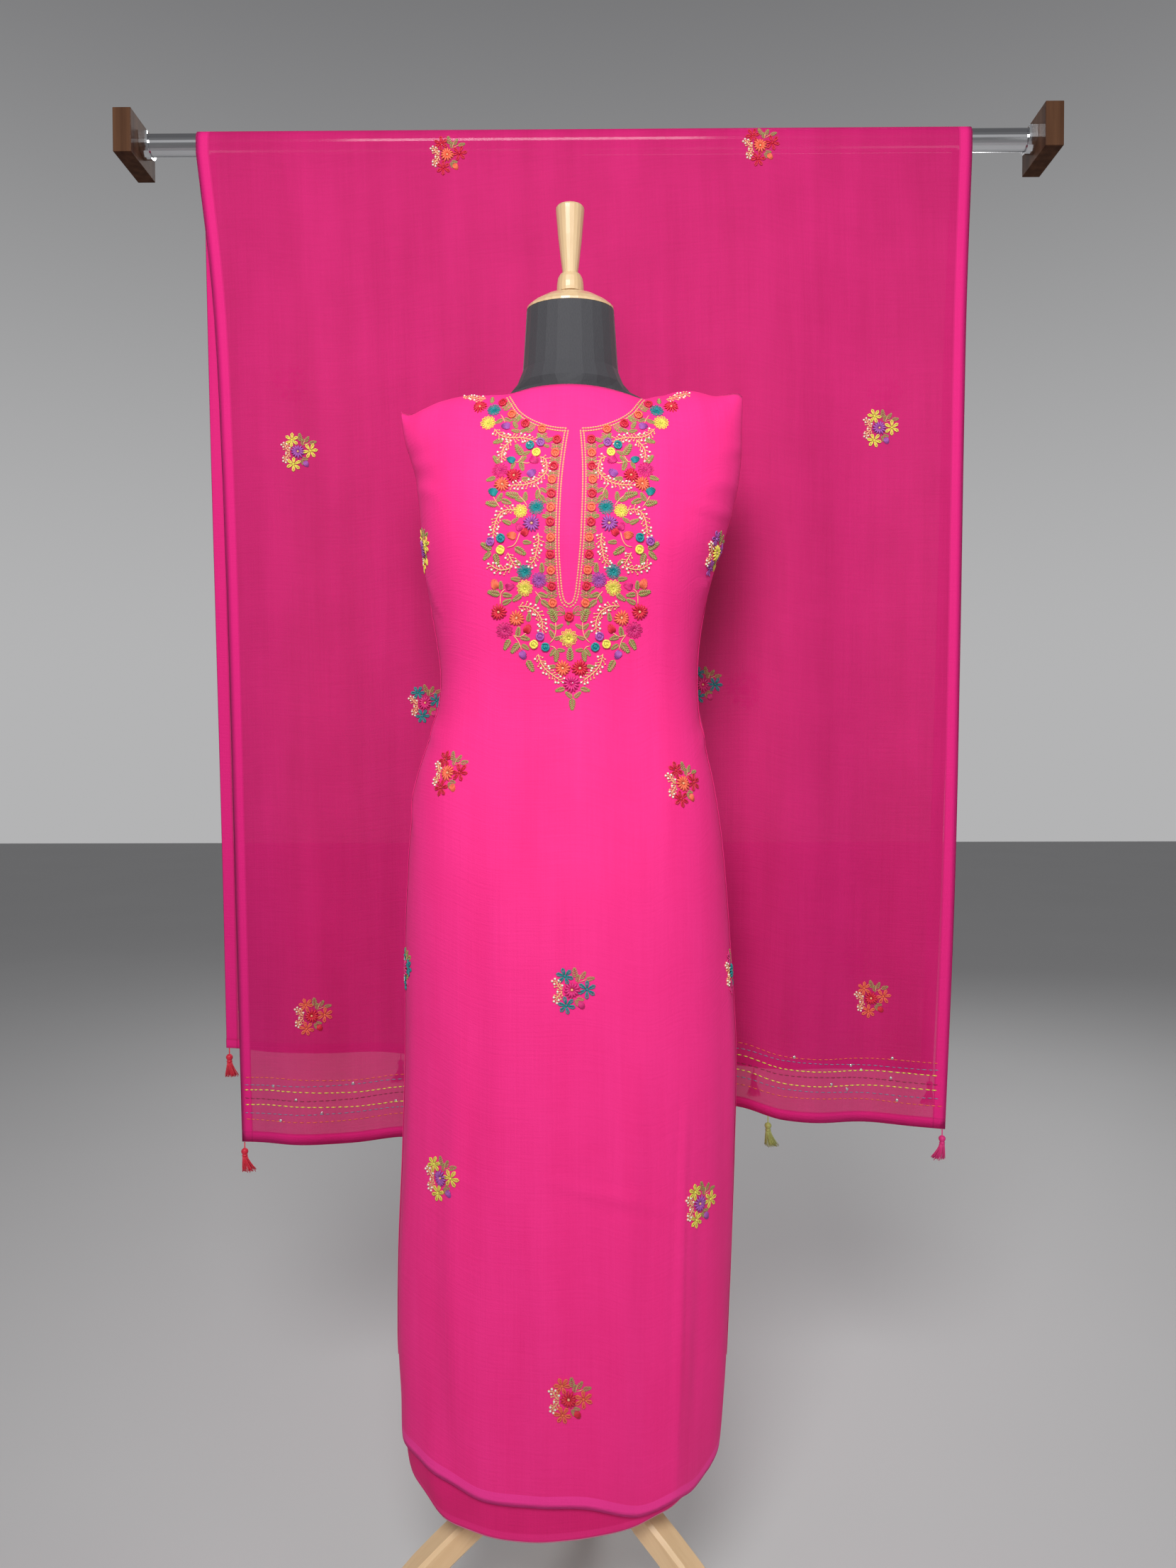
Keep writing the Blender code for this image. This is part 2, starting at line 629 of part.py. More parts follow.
def tassel(name, place, colour, lean):
    """One tassel: thread, head and locks that grow out of the head."""
    shape = bmesh.new()
    loops = []
    for radius, drop in TASSEL_RINGS:
        loop = []
        for side in range(TASSEL_SIDES):
            turn = math.tau * side / TASSEL_SIDES
            loop.append(shape.verts.new((radius * math.cos(turn), radius * math.sin(turn), -drop)))
        loops.append(loop)
    bands = []
    for high, low in zip(loops, loops[1:]):
        band = []
        for side in range(TASSEL_SIDES):
            nxt = (side + 1) % TASSEL_SIDES
            band.append(shape.faces.new((low[side], low[nxt], high[nxt], high[side])))
        bands.append(band)
    shape.faces.new(loops[0])
    under = shape.faces.new(list(reversed(loops[-1])))
    inner = bmesh.ops.poke(shape, faces=[under])["faces"]
    for roots, spread in ((bands[-1], LOCK_SPREAD_OUTER), (inner, LOCK_SPREAD_INNER)):
        bmesh.ops.inset_individual(shape, faces=roots, thickness=LOCK_INSET, use_even_offset=True)
        ends = bmesh.ops.extrude_discrete_faces(shape, faces=roots)["faces"]
        for end in ends:
            centre = end.calc_center_median()
            outward = Vector((centre.x, centre.y, 0.0)).normalized()
            move = Vector((0.0, 0.0, -LOCK_LENGTH)) + outward * LOCK_LENGTH * spread
            move.z += LOCK_UNEVEN * math.sin(LOCK_UNEVEN_RATE * centre.x / TASSEL_RINGS[-1][0])
            move.x += LOCK_LENGTH * lean
            for vert in end.verts:
                vert.co = centre + (vert.co - centre) * LOCK_TAPER + move
                vert.co.z = centre.z + move.z
    mesh = bpy.data.meshes.new(name)
    shape.to_mesh(mesh)
    shape.free()
    item = keep(name, mesh, (colour, 0.6, 0.0))
    item.location = place
    return item


def tassels():
    """Five tassels along each end of the dupatta."""
    for end, back in (("front", False), ("back", True)):
        for number, across in enumerate(TASSEL_PLACES):
            label, colour = TASSEL_COLOURS[number]
            place = fall_point(back, across, 1.0)
            place.y += -DUPATTA_WALL / 2 if back else DUPATTA_WALL / 2
            lean = TASSEL_LEAN * math.cos(TASSEL_LEAN_STEP * number + (BACK_LEAN_SHIFT if back else 0.0))
            tassel("tassel_{}_{}_{}".format(end, number + 1, label), place, colour, lean)


clear_scene()
SUIT = bpy.data.collections.new("salwar_kameez_suit")
bpy.context.scene.collection.children.link(SUIT)
torso()
form_top()
form_stand()
salwar_cloth()
kameez_front()
kameez_back()
rod()
dupatta()
tassels()
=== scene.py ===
import math
import random

import bpy
import numpy as np
from mathutils import Matrix, Vector
from mathutils.bvhtree import BVHTree


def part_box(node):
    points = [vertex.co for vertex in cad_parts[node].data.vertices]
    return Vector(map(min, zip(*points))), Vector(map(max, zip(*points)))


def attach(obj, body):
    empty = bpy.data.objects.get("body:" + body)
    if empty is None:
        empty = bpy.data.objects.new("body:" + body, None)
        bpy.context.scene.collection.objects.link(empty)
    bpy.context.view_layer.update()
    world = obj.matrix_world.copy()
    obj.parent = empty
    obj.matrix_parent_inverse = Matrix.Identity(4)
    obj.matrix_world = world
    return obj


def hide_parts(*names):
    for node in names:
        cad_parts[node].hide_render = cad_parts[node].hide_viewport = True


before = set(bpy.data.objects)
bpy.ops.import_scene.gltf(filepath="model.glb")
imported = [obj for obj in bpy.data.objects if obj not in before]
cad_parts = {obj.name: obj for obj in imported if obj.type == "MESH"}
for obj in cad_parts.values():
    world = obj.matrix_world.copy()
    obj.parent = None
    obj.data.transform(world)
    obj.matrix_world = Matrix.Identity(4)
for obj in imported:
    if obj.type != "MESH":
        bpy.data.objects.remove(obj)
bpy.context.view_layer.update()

# The camera stands at chest height in front of the suit, 1.32 m from the dress form,
# and looks a little down and to the left. Its lens is a phone's wide one.
LENS_MM = 26.63
CAMERA_PLACE = (0.011, -1.3732, 1.011)
PITCH, YAW, ROLL = math.radians(-1.44), math.radians(-0.45), math.radians(0.14)
ahead = Vector((math.sin(YAW) * math.cos(PITCH), math.cos(YAW) * math.cos(PITCH), math.sin(PITCH)))
level = Vector((math.cos(YAW), -math.sin(YAW), 0.0))
below = level.cross(ahead) * -1.0
if below.z > 0:
    below.negate()
picture_right = level * math.cos(ROLL) + below * math.sin(ROLL)
picture_down = below * math.cos(ROLL) - level * math.sin(ROLL)
lens = bpy.data.cameras.new("camera")
lens.lens = LENS_MM
lens.sensor_width = 36.0
lens.sensor_fit = "AUTO"
lens.clip_end = 60.0
camera = bpy.data.objects.new("camera", lens)
turn_camera = Matrix((picture_right, -picture_down, -ahead)).transposed().to_4x4()
camera.matrix_world = Matrix.Translation(CAMERA_PLACE) @ turn_camera
bpy.context.scene.collection.objects.link(camera)
bpy.context.scene.camera = camera

# The dress form stands on three bent legs of pale varnished wood under a turned hub, with
# a chrome pole up to the torso. The torso is moulded and covered in charcoal jersey, glued
# down, and a turned wood cap and finial close its neck.
FORM_X, FORM_Y = -0.018, -0.05167
LEG_ANGLES = (-67.5, 52.5, 172.5)
LEG_LIGHT, LEG_DARK = (0.97, 0.71, 0.42), (0.80, 0.52, 0.27)
TURNED_LIGHT, TURNED_DARK = (0.72, 0.53, 0.31), (0.55, 0.36, 0.18)
JERSEY_LIGHT, JERSEY_DARK = (0.058, 0.058, 0.064), (0.034, 0.034, 0.039)


class Wire:
    """A socket in a finish's node tree. Each sign written on it adds a Math node."""

    def __init__(self, tree, socket=None):
        self.tree = tree
        self.socket = socket

    def add(self, kind, settings, sockets, out=0):
        """Any node: its settings first, then what its sockets hold."""
        node = self.tree.nodes.new("ShaderNode" + kind)
        for name, value in settings.items():
            setattr(node, name, value)
        for name, value in sockets.items():
            if isinstance(value, Wire):
                self.tree.links.new(value.socket, node.inputs[name])
            else:
                node.inputs[name].default_value = value
        return Wire(self.tree, node.outputs[out])

    def sign(self, operation, first, second):
        return self.add("Math", {"operation": operation}, {0: first, 1: second})

    def __add__(self, other):
        return self.sign("ADD", self, other)

    def __radd__(self, other):
        return self.sign("ADD", other, self)

    def __sub__(self, other):
        return self.sign("SUBTRACT", self, other)

    def __rsub__(self, other):
        return self.sign("SUBTRACT", other, self)

    def __mul__(self, other):
        return self.sign("MULTIPLY", self, other)

    def __rmul__(self, other):
        return self.sign("MULTIPLY", other, self)

    def noise(self, size, detail=2.0):
        """Cloudy noise on a place, with clouds about as large as size."""
        return self.add("TexNoise", {}, {"Vector": self, "Scale": 1.0 / size, "Detail": detail})

    def stretched(self, sizes):
        """The place measured in these sizes, one for each direction."""
        scale = tuple(1.0 / size for size in sizes)
        return self.add("VectorMath", {"operation": "MULTIPLY"}, {0: self, 1: scale})

    def step(self, start, end):
        """Rises softly from 0 at the start to 1 at the end."""
        return self.add("MapRange", {"interpolation_type": "SMOOTHSTEP"},
                        {"Value": self, "From Min": start, "From Max": end})

    def between(self, low, high):
        """A colour from low at 0 to high at 1."""
        ends = [value if isinstance(value, Wire) else (*value, 1.0) for value in (low, high)]
        return self.add("Mix", {"data_type": "RGBA"}, {0: self, 6: ends[0], 7: ends[1]}, out=2)

    def into(self, shader, name):
        self.tree.links.new(self.socket, shader.inputs[name])

    def relief(self, shader, distance, strength=1.0):
        """Raises the surface by up to the distance where the wire is 1."""
        bump = self.add("Bump", {}, {"Height": self, "Distance": distance, "Strength": strength})
        bump.into(shader, "Normal")


def finish(name, constants):
    """A new material with its shader's constants set, its shader and a wire to start from."""
    material = bpy.data.materials.new(name)
    material.use_nodes = True
    shader = material.node_tree.nodes["Principled BSDF"]
    for socket, value in constants.items():
        shader.inputs[socket].default_value = value
    return material, shader, Wire(material.node_tree)


def wood(name, along, light, dark, gloss):
    """Varnished wood with its grain along a direction."""
    material, shader, start = finish(name, {
        "Coat Weight": gloss, "Coat Roughness": 0.15, "Specular IOR Level": 0.03 + 0.9 * gloss})
    place = start.add("TexCoord", {}, {}, out=3)
    lie = tuple(Vector(along).to_track_quat("X", "Z").to_euler())
    grain_place = start.add("Mapping", {"vector_type": "TEXTURE"},
                            {"Vector": place, "Rotation": lie, "Scale": (0.30, 0.012, 0.012)})
    pore_place = start.add("Mapping", {"vector_type": "TEXTURE"},
                           {"Vector": place, "Rotation": lie, "Scale": (0.05, 0.0011, 0.0011)})
    rings = grain_place.noise(1.0, 4.0)
    pores = pore_place.noise(1.0, 2.0)
    tone = rings * 1.5 - 0.35 + pores * 0.25
    tone.between(dark, light).into(shader, "Base Color")
    (0.60 - 0.5 * gloss + pores * 0.14).into(shader, "Roughness")
    pores.relief(shader, 0.0002, 0.5)
    return material


def dress(node, material):
    """Gives a CAD node its finish."""
    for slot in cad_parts[node].material_slots:
        slot.material = material


for number, angle in enumerate(LEG_ANGLES, start=1):
    run = (0.8 * math.sin(math.radians(angle)), -0.8 * math.cos(math.radians(angle)), -0.72)
    leg_wood = wood("leg_{}_wood".format(number), run, LEG_LIGHT, LEG_DARK, 0.35)
    dress("form_leg_{}".format(number), leg_wood)
turned_wood = wood("turned_wood", (0.0, 0.0, 1.0), TURNED_LIGHT, TURNED_DARK, 0.5)
for node in ("form_neck_cap", "form_finial", "form_hub"):
    dress(node, turned_wood)

jersey, jersey_shader, jersey_start = finish(
    "charcoal_jersey", {"Sheen Weight": 0.12, "Sheen Roughness": 0.4, "Specular IOR Level": 0.30})
jersey_place = jersey_start.add("TexCoord", {}, {}, out=3)
jersey_rib = jersey_place.stretched((0.0011, 0.0011, 0.0030)).noise(1.0)
jersey_wear = jersey_place.noise(0.060)
(jersey_rib * 0.6 + jersey_wear * 0.5).between(JERSEY_DARK, JERSEY_LIGHT).into(jersey_shader, "Base Color")
(0.62 + jersey_wear * 0.16).into(jersey_shader, "Roughness")
jersey_rib.relief(jersey_shader, 0.0003)
dress("form_torso", jersey)

chrome, chrome_shader, chrome_start = finish(
    "polished_chrome", {"Metallic": 1.0, "Base Color": (0.78, 0.79, 0.81, 1.0)})
chrome_place = chrome_start.add("TexCoord", {}, {}, out=3)
chrome_rub = chrome_place.stretched((0.0600, 0.0015, 0.0015)).noise(1.0)
(0.07 + chrome_rub * 0.09).into(chrome_shader, "Roughness")
dress("form_pole", chrome)

# The salwar cloth is one uncut length of plain crimson-pink cloth, raw at its edges, wound
# once round the form under the kameez and pinned at the waist. Its selvedge shows below.
LEFT, RIGHT, FRONT, BACK = 1, 2, 3, 4
DRAPE = (
    # height, left, right, front, back
    (0.190, 0.184, 0.156, 0.124, 0.150),
    (0.230, 0.195, 0.166, 0.127, 0.148),
    (0.290, 0.197, 0.172, 0.128, 0.144),
    (0.350, 0.200, 0.176, 0.128, 0.140),
    (0.450, 0.199, 0.180, 0.127, 0.134),
    (0.560, 0.194, 0.184, 0.126, 0.128),
    (0.680, 0.190, 0.186, 0.124, 0.122),
    (0.800, 0.189, 0.179, 0.122, 0.116),
    (0.870, 0.186, 0.174, 0.119, 0.112),
    (0.930, 0.182, 0.168, 0.113, 0.104),
    (0.980, 0.176, 0.160, 0.107, 0.097),
    (1.020, 0.164, 0.151, 0.102, 0.091),
    (1.060, 0.151, 0.144, 0.099, 0.088),
    (1.100, 0.147, 0.142, 0.100, 0.088),
    (1.150, 0.153, 0.146, 0.108, 0.091),
    (1.200, 0.162, 0.157, 0.117, 0.096),
    (1.245, 0.167, 0.172, 0.121, 0.100),
    (1.290, 0.171, 0.185, 0.114, 0.102),
    (1.330, 0.176, 0.192, 0.102, 0.100),
    (1.375, 0.187, 0.194, 0.094, 0.095),
    (1.417, 0.194, 0.196, 0.090, 0.090),
)
RING_POWER = 2.2
SHOULDER_START, SHOULDER_TOP = 1.330, 1.417
NECK_PASS_X, NECK_PASS_Y = 0.105, 0.072
SEAM_HALF_GAP = 0.0011
FOLDS = (
    # angle, half-width, ridge, top
    (-152.0, 13.0, 0.007, 0.78),
    (-118.0, 11.0, 0.006, 0.62),
    (-64.0, 10.0, 0.005, 0.60),
    (-27.0, 9.0, 0.003, 0.50),
    (8.0, 10.0, 0.003, 0.42),
    (36.0, 8.0, 0.006, 0.74),
    (68.0, 10.0, 0.004, 0.58),
    (112.0, 12.0, 0.006, 0.66),
    (146.0, 12.0, 0.007, 0.80),
)
FOLD_FULL = 0.250
LEG_RIDES = ((-46.0, 10.0, 0.0080, 0.34), (46.0, 10.0, 0.0035, 0.34), (180.0, 12.0, 0.0160, 0.36))
RIDE_FULL = 0.200
ARC = 0.0027
CREASES = (
    # angle and height where it starts, and where it ends, half-width, ridge, bow
    (39.0, 0.640, 37.0, 0.232, 0.0045, 0.0023, 0.003),
    (47.0, 0.560, 46.5, 0.300, 0.0090, -0.0012, -0.004),
    (21.0, 0.700, 17.0, 0.250, 0.0130, 0.0024, 0.006),
    (-9.0, 0.520, -8.0, 0.240, 0.0120, 0.0021, -0.005),
    (-36.0, 0.700, -33.0, 0.270, 0.0140, 0.0026, 0.008),
    (4.0, 0.960, 8.0, 0.620, 0.0120, 0.0015, 0.005),
    (-20.0, 0.900, -24.0, 0.560, 0.0130, 0.0017, -0.006),
    (-66.0, 0.760, -70.0, 0.380, 0.0180, 0.0022, -0.006),
    (72.0, 0.800, 78.0, 0.420, 0.0160, 0.0020, 0.008),
    (-4.0, 0.566, 22.0, 0.545, 0.0060, 0.0011, 0.003),
    (2.0, 0.551, 33.0, 0.528, 0.0050, 0.0009, -0.002),
    (-50.0, 0.571, -30.0, 0.560, 0.0060, 0.0009, 0.002),
    (80.0, 1.212, 62.0, 1.196, 0.0048, 0.0024, -0.004),
    (79.0, 1.190, 65.0, 1.186, 0.0040, 0.0016, 0.003),
    (80.0, 1.240, 66.0, 1.214, 0.0060, 0.0014, 0.004),
    (-80.0, 1.218, -66.0, 1.186, 0.0052, 0.0022, 0.004),
    (-79.0, 1.186, -62.0, 1.164, 0.0045, 0.0018, -0.003),
    (-78.0, 1.250, -66.0, 1.236, 0.0060, 0.0013, 0.003),
    (41.0, 1.277, 78.0, 1.275, 0.0042, 0.0019, 0.004),
    (50.0, 1.300, 80.0, 1.304, 0.0080, 0.0013, -0.004),
    (-52.0, 1.289, -79.0, 1.304, 0.0075, 0.0016, 0.004),
    (-48.0, 1.330, -80.0, 1.340, 0.0090, 0.0013, -0.003),
    (58.0, 1.345, 80.0, 1.352, 0.0070, 0.0012, 0.003),
    (-92.0, 1.060, -60.0, 1.030, 0.0100, 0.0016, 0.006),
    (94.0, 1.050, 66.0, 1.020, 0.0100, 0.0014, -0.006),
    (-100.0, 0.980, -70.0, 0.930, 0.0120, 0.0016, -0.008),
    (150.0, 1.290, 172.0, 1.250, 0.0085, 0.0018, 0.004),
    (-150.0, 1.300, -170.0, 1.245, 0.0080, 0.0020, -0.005),
    (124.0, 1.180, 160.0, 1.130, 0.0100, 0.0020, 0.006),
    (-122.0, 1.170, -154.0, 1.120, 0.0095, 0.0018, -0.006),
    (130.0, 1.075, 175.0, 1.062, 0.0080, 0.0020, 0.004),
    (-128.0, 1.082, -168.0, 1.055, 0.0075, 0.0017, -0.004),
    (168.0, 1.020, 164.0, 0.640, 0.0150, 0.0026, 0.010),
    (-164.0, 0.990, -168.0, 0.560, 0.0140, 0.0024, -0.008),
    (138.0, 0.860, 134.0, 0.420, 0.0160, 0.0022, 0.008),
    (-136.0, 0.900, -132.0, 0.460, 0.0170, 0.0022, 0.010),
)
KAMEEZ_GAP = 0.0030
SALWAR_LOW, SALWAR_HIGH, HEM_EASED = 0.190, 1.060, 0.430
SALWAR_HEM = (
    (-176.0, 0.216), (-120.0, 0.220), (-75.0, 0.220), (-60.0, 0.208), (-45.0, 0.188), (-30.0, 0.181),
    (-10.0, 0.179), (8.0, 0.188), (24.0, 0.192), (35.0, 0.205), (60.0, 0.218), (120.0, 0.220),
    (176.0, 0.216),
)
SALWAR_HEM_INSET = 0.0015
SALWAR_END = 176.0
CLOTH_WALL = 0.00045


def read(table, at, column=1):
    """One column of a table, as a smooth curve through its rows."""
    rows = np.array(table, float)
    place, value = rows[:, 0], rows[:, column]
    slope = np.empty_like(value)
    slope[1:-1] = (value[2:] - value[:-2]) / (place[2:] - place[:-2])
    slope[0] = (value[1] - value[0]) / (place[1] - place[0])
    slope[-1] = (value[-1] - value[-2]) / (place[-1] - place[-2])
    row = np.clip(np.searchsorted(place, at) - 1, 0, len(place) - 2)
    span = place[row + 1] - place[row]
    t = np.clip((at - place[row]) / span, 0.0, 1.0)
    keep_start = 2 * t ** 3 - 3 * t ** 2 + 1
    leave = (t ** 3 - 2 * t ** 2 + t) * span * slope[row]
    arrive = (t ** 3 - t ** 2) * span * slope[row + 1]
    return keep_start * value[row] + (1 - keep_start) * value[row + 1] + leave + arrive


def ramp(value, start, end):
    """Rises softly from 0 at the start to 1 at the end."""
    t = np.clip((value - start) / (end - start), 0.0, 1.0)
    return t * t * (3 - 2 * t)


def fold_height(angle, height):
    """How far the large folds stand out at places on the draped cloth."""
    total = np.zeros_like(angle)
    for table, full in ((FOLDS, FOLD_FULL), (LEG_RIDES, RIDE_FULL)):
        for place, half, ridge, top in table:
            turn = np.abs(angle - place)
            away = np.minimum(turn, 360.0 - turn) / half
            total += ridge * np.exp(-away ** 2) * (1 - ramp(height, full, top))
    return total


def crease_height(angle, height):
    """How far the creases stand out: each a soft ridge with a shallow trough beside it."""
    total = np.zeros_like(angle)
    for angle_0, height_0, angle_1, height_1, half, ridge, bow in CREASES:
        run = np.array(((angle_1 - angle_0) * ARC, height_1 - height_0))
        length = np.hypot(*run)
        across, up = (angle - angle_0) * ARC, height - height_0
        along = (across * run[0] + up * run[1]) / length ** 2
        inside = np.clip(along, 0.0, 1.0)
        side = (across * run[1] - up * run[0]) / length - bow * 4 * inside * (1 - inside)
        past = (along - inside) * length
        off = side / half
        shape = np.exp(-off ** 2) - 0.4 * np.exp(-(off - 1.7) ** 2)
        fade = np.sin(np.pi * np.clip(0.06 + 0.88 * inside, 0.0, 1.0)) ** 0.7
        total += ridge * shape * fade * np.exp(-(past / half) ** 2)
    return np.maximum(total, -0.0008)


def draped(angle, height, out):
    """Points of the draped cloth round the form, moved out by a distance."""
    turn = np.radians(angle)
    across, along = np.sin(turn), np.cos(turn)
    side = np.where(across > 0, read(DRAPE, height, RIGHT), read(DRAPE, height, LEFT)) + out
    depth = np.where(along > 0, read(DRAPE, height, FRONT), read(DRAPE, height, BACK)) + out
    x = np.copysign(side * np.abs(across) ** (2 / RING_POWER), across)
    y = -np.copysign(depth * np.abs(along) ** (2 / RING_POWER), along)
    stand = fold_height(angle, height) + crease_height(angle, height)
    grow = 1 + stand / np.hypot(x, y)
    x, y = x * grow, y * grow
    rise = np.clip((height - SHOULDER_START) / (SHOULDER_TOP - SHOULDER_START), 0.0, 1.0)
    edge = SEAM_HALF_GAP + NECK_PASS_Y * np.maximum(1 - (x / NECK_PASS_X) ** 2, 0.0)
    closed = np.copysign(edge + (np.abs(y) - edge) * np.sqrt(1 - rise ** 2), y)
    y = np.where(height > SHOULDER_START, closed, y)
    return np.stack((FORM_X + x, FORM_Y + y, height), axis=-1)


def new_piece(name, points, faces, looks, smooth=True):
    """A mesh object with its finishes, which rides on the part."""
    mesh = bpy.data.meshes.new(name)
    mesh.from_pydata(points, [], faces)
    for look in looks:
        mesh.materials.append(look)
    if smooth:
        mesh.shade_smooth()
    piece = bpy.data.objects.new(name, mesh)
    bpy.context.scene.collection.objects.link(piece)
    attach(piece, "root")
    return piece


def cloth(name, points, wall, material, edge=None):
    """A cloth from rows of points, upward, with its cut in metres as its UV and, where it is
    given, each point's distance to the side and to the end as a second one."""
    rows, columns = points.shape[:2]
    steps = np.linalg.norm(np.diff(points, axis=0), axis=2)
    up = np.vstack((np.zeros(columns), np.cumsum(steps, axis=0)))
    steps = np.linalg.norm(np.diff(points, axis=1), axis=2)
    across = np.hstack((np.zeros((rows, 1)), np.cumsum(steps, axis=1)))
    across -= across[:, columns // 2:columns // 2 + 1]
    corner = (np.arange(rows - 1)[:, None] * columns + np.arange(columns - 1)).ravel()
    faces = np.stack((corner, corner + 1, corner + columns + 1, corner + columns), axis=1)
    flat_points = points.reshape(-1, 3)
    piece = new_piece(name, flat_points.tolist(), faces.tolist(), [material])
    maps = {"cut": np.stack((across, up), axis=-1)}
    if edge is not None:
        maps["edge"] = edge
    for title, places in maps.items():
        corners = places.reshape(-1, 2)[faces.ravel()]
        piece.data.uv_layers.new(name=title).data.foreach_set("uv", corners.ravel())
    if wall:
        solid = piece.modifiers.new("wall", "SOLIDIFY")
        solid.thickness = wall
        solid.offset = -1.0
    ground = BVHTree.FromPolygons([Vector(point) for point in flat_points], faces.tolist())
    return piece, ground


def georgette(name, colour, shade, sheen):
    """Crinkled plain-weave georgette or crepe on its cut in metres: its wires and its tone."""
    material, shader, start = finish(name, {
        "Sheen Weight": sheen, "Sheen Roughness": 0.55, "Sheen Tint": (1.0, 0.25, 0.60, 1.0),
        "Specular IOR Level": 0.18})
    cut = start.add("UVMap", {"uv_map": "cut"}, {})
    crepe = cut.noise(0.0016, 3.0)
    slub = cut.stretched((0.045, 0.0024, 1.0)).noise(1.0, 3.0)
    warp = cut.stretched((0.0024, 0.110, 1.0)).noise(1.0, 2.0)
    ripple = cut.stretched((0.040, 0.550, 1.0)).noise(1.0, 3.0)
    cloud = cut.noise(0.090, 3.0)
    (crepe * 0.55 + warp * 0.55 + slub * 0.7).relief(shader, 0.00045, 0.9)
    (0.62 + crepe * 0.22).into(shader, "Roughness")
    tone = cloud * 0.5 + ripple * 0.9 + slub * 0.35 + warp * 0.30 + crepe * 0.35 - 0.74
    return material, shader, cut, tone.between(shade, colour)


def grid(low, high, columns, rows_at):
    """Columns between two edges for each row, as angles, and their heights."""
    share = np.linspace(0.0, 1.0, columns)
    angle = low[:, None] + (high - low)[:, None] * share
    return angle, np.repeat(rows_at[:, None], columns, axis=1)


salwar_look, salwar_shader, salwar_cut, salwar_tone = georgette(
    "crimson_pink_cloth", (0.84, 0.020, 0.200), (0.66, 0.012, 0.140), 0.05)
salwar_up = salwar_cut.add("SeparateXYZ", {}, {"Vector": salwar_cut}, out=1)
salwar_band = (1 - salwar_up.step(0.0085, 0.0100)) * 0.35
salwar_tone = salwar_band.between(salwar_tone, (0.90, 0.04, 0.27))
salwar_thread = (1 - salwar_up.step(0.0008, 0.0014)) * 0.8
salwar_thread.between(salwar_tone, (0.95, 0.42, 0.58)).into(salwar_shader, "Base Color")

rows_at = SALWAR_LOW + (SALWAR_HIGH - SALWAR_LOW) * np.linspace(0.0, 1.0, 120) ** 1.15
ends = np.full(len(rows_at), SALWAR_END)
angle, height = grid(-ends, ends, 190, rows_at)
loose = 1 - ramp(height, SALWAR_LOW, HEM_EASED)
inside = KAMEEZ_GAP + SALWAR_HEM_INSET * loose
low = height + (read(SALWAR_HEM, angle) - SALWAR_LOW) * loose
salwar, _ = cloth("salwar_length", draped(angle, low, -inside), CLOTH_WALL, salwar_look)
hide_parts("salwar_cloth")

# The kameez is two uncut lengths of hot pink georgette. The front is pinned over the bust
# and shoulders, its hem turned up 14 mm and stitched; the back lies over its side edges.
KAMEEZ_LOW = 0.215
FRONT_WRAP, FRONT_WRAP_ARMHOLE = 105.0, 80.0
BACK_WRAP, BACK_WRAP_ARMHOLE = 97.5, 80.0
ARMHOLE_START, ARMHOLE_FULL = 1.150, 1.225
BACK_HEM = 0.330
BACK_EDGE_GAP, BACK_EDGE_TURN = 0.0008, 16.0
FRONT_HEM = (
    (-105.0, 0.256), (-80.0, 0.252), (-57.0, 0.247), (-40.0, 0.236), (-26.0, 0.223), (-8.0, 0.221),
    (5.0, 0.222), (24.0, 0.206), (38.0, 0.217), (52.0, 0.217), (75.0, 0.242), (105.0, 0.250),
)
TOP_LINE_START = 1.290
TOP_LINE = (
    (-0.194, 1.4005), (-0.181, 1.3965), (-0.164, 1.4025), (-0.144, 1.4095), (-0.112, 1.4145),
    (-0.088, 1.4100), (-0.064, 1.4055), (-0.037, 1.4068), (0.000, 1.4070), (0.034, 1.4062),
    (0.061, 1.4043), (0.081, 1.4035), (0.096, 1.4100), (0.117, 1.4175), (0.138, 1.4190),
    (0.159, 1.4150), (0.174, 1.4165), (0.188, 1.4180), (0.196, 1.4130),
)
TURN_UP = 0.014
KAMEEZ_PINK, KAMEEZ_SHADE = (0.96, 0.036, 0.275), (0.84, 0.020, 0.200)


def topped(points):
    """Lifts the points near the shoulders to the kameez's top line."""
    shift = read(TOP_LINE, points[..., 0] - FORM_X) - SHOULDER_TOP
    points[..., 2] += shift * ramp(points[..., 2], TOP_LINE_START, SHOULDER_TOP)
    return points


def kameez_look(name, hem_seen):
    """The kameez cloth, brighter where its hem is doubled."""
    material, shader, cut, tone = georgette(name, KAMEEZ_PINK, KAMEEZ_SHADE, 0.08)
    if hem_seen:
        up = cut.add("SeparateXYZ", {}, {"Vector": cut}, out=1)
        doubled = (1 - up.step(2 * TURN_UP - 0.0005, 2 * TURN_UP + 0.0005)) * 0.60
        tone = doubled.between(tone, (1.00, 0.055, 0.37))
    tone.into(shader, "Base Color")
    return material


def turned_up(rows_at, turn):
    """Row heights with a turned-up hem inside them, and how far out each row lies."""
    inner = rows_at[0] + np.array((turn, turn * 0.6, turn * 0.25, 0.0006))
    heights = np.concatenate((inner, rows_at))
    out = np.concatenate((np.array((-0.0011, -0.0011, -0.0010, -0.0007)), np.zeros(len(rows_at))))
    return heights, out


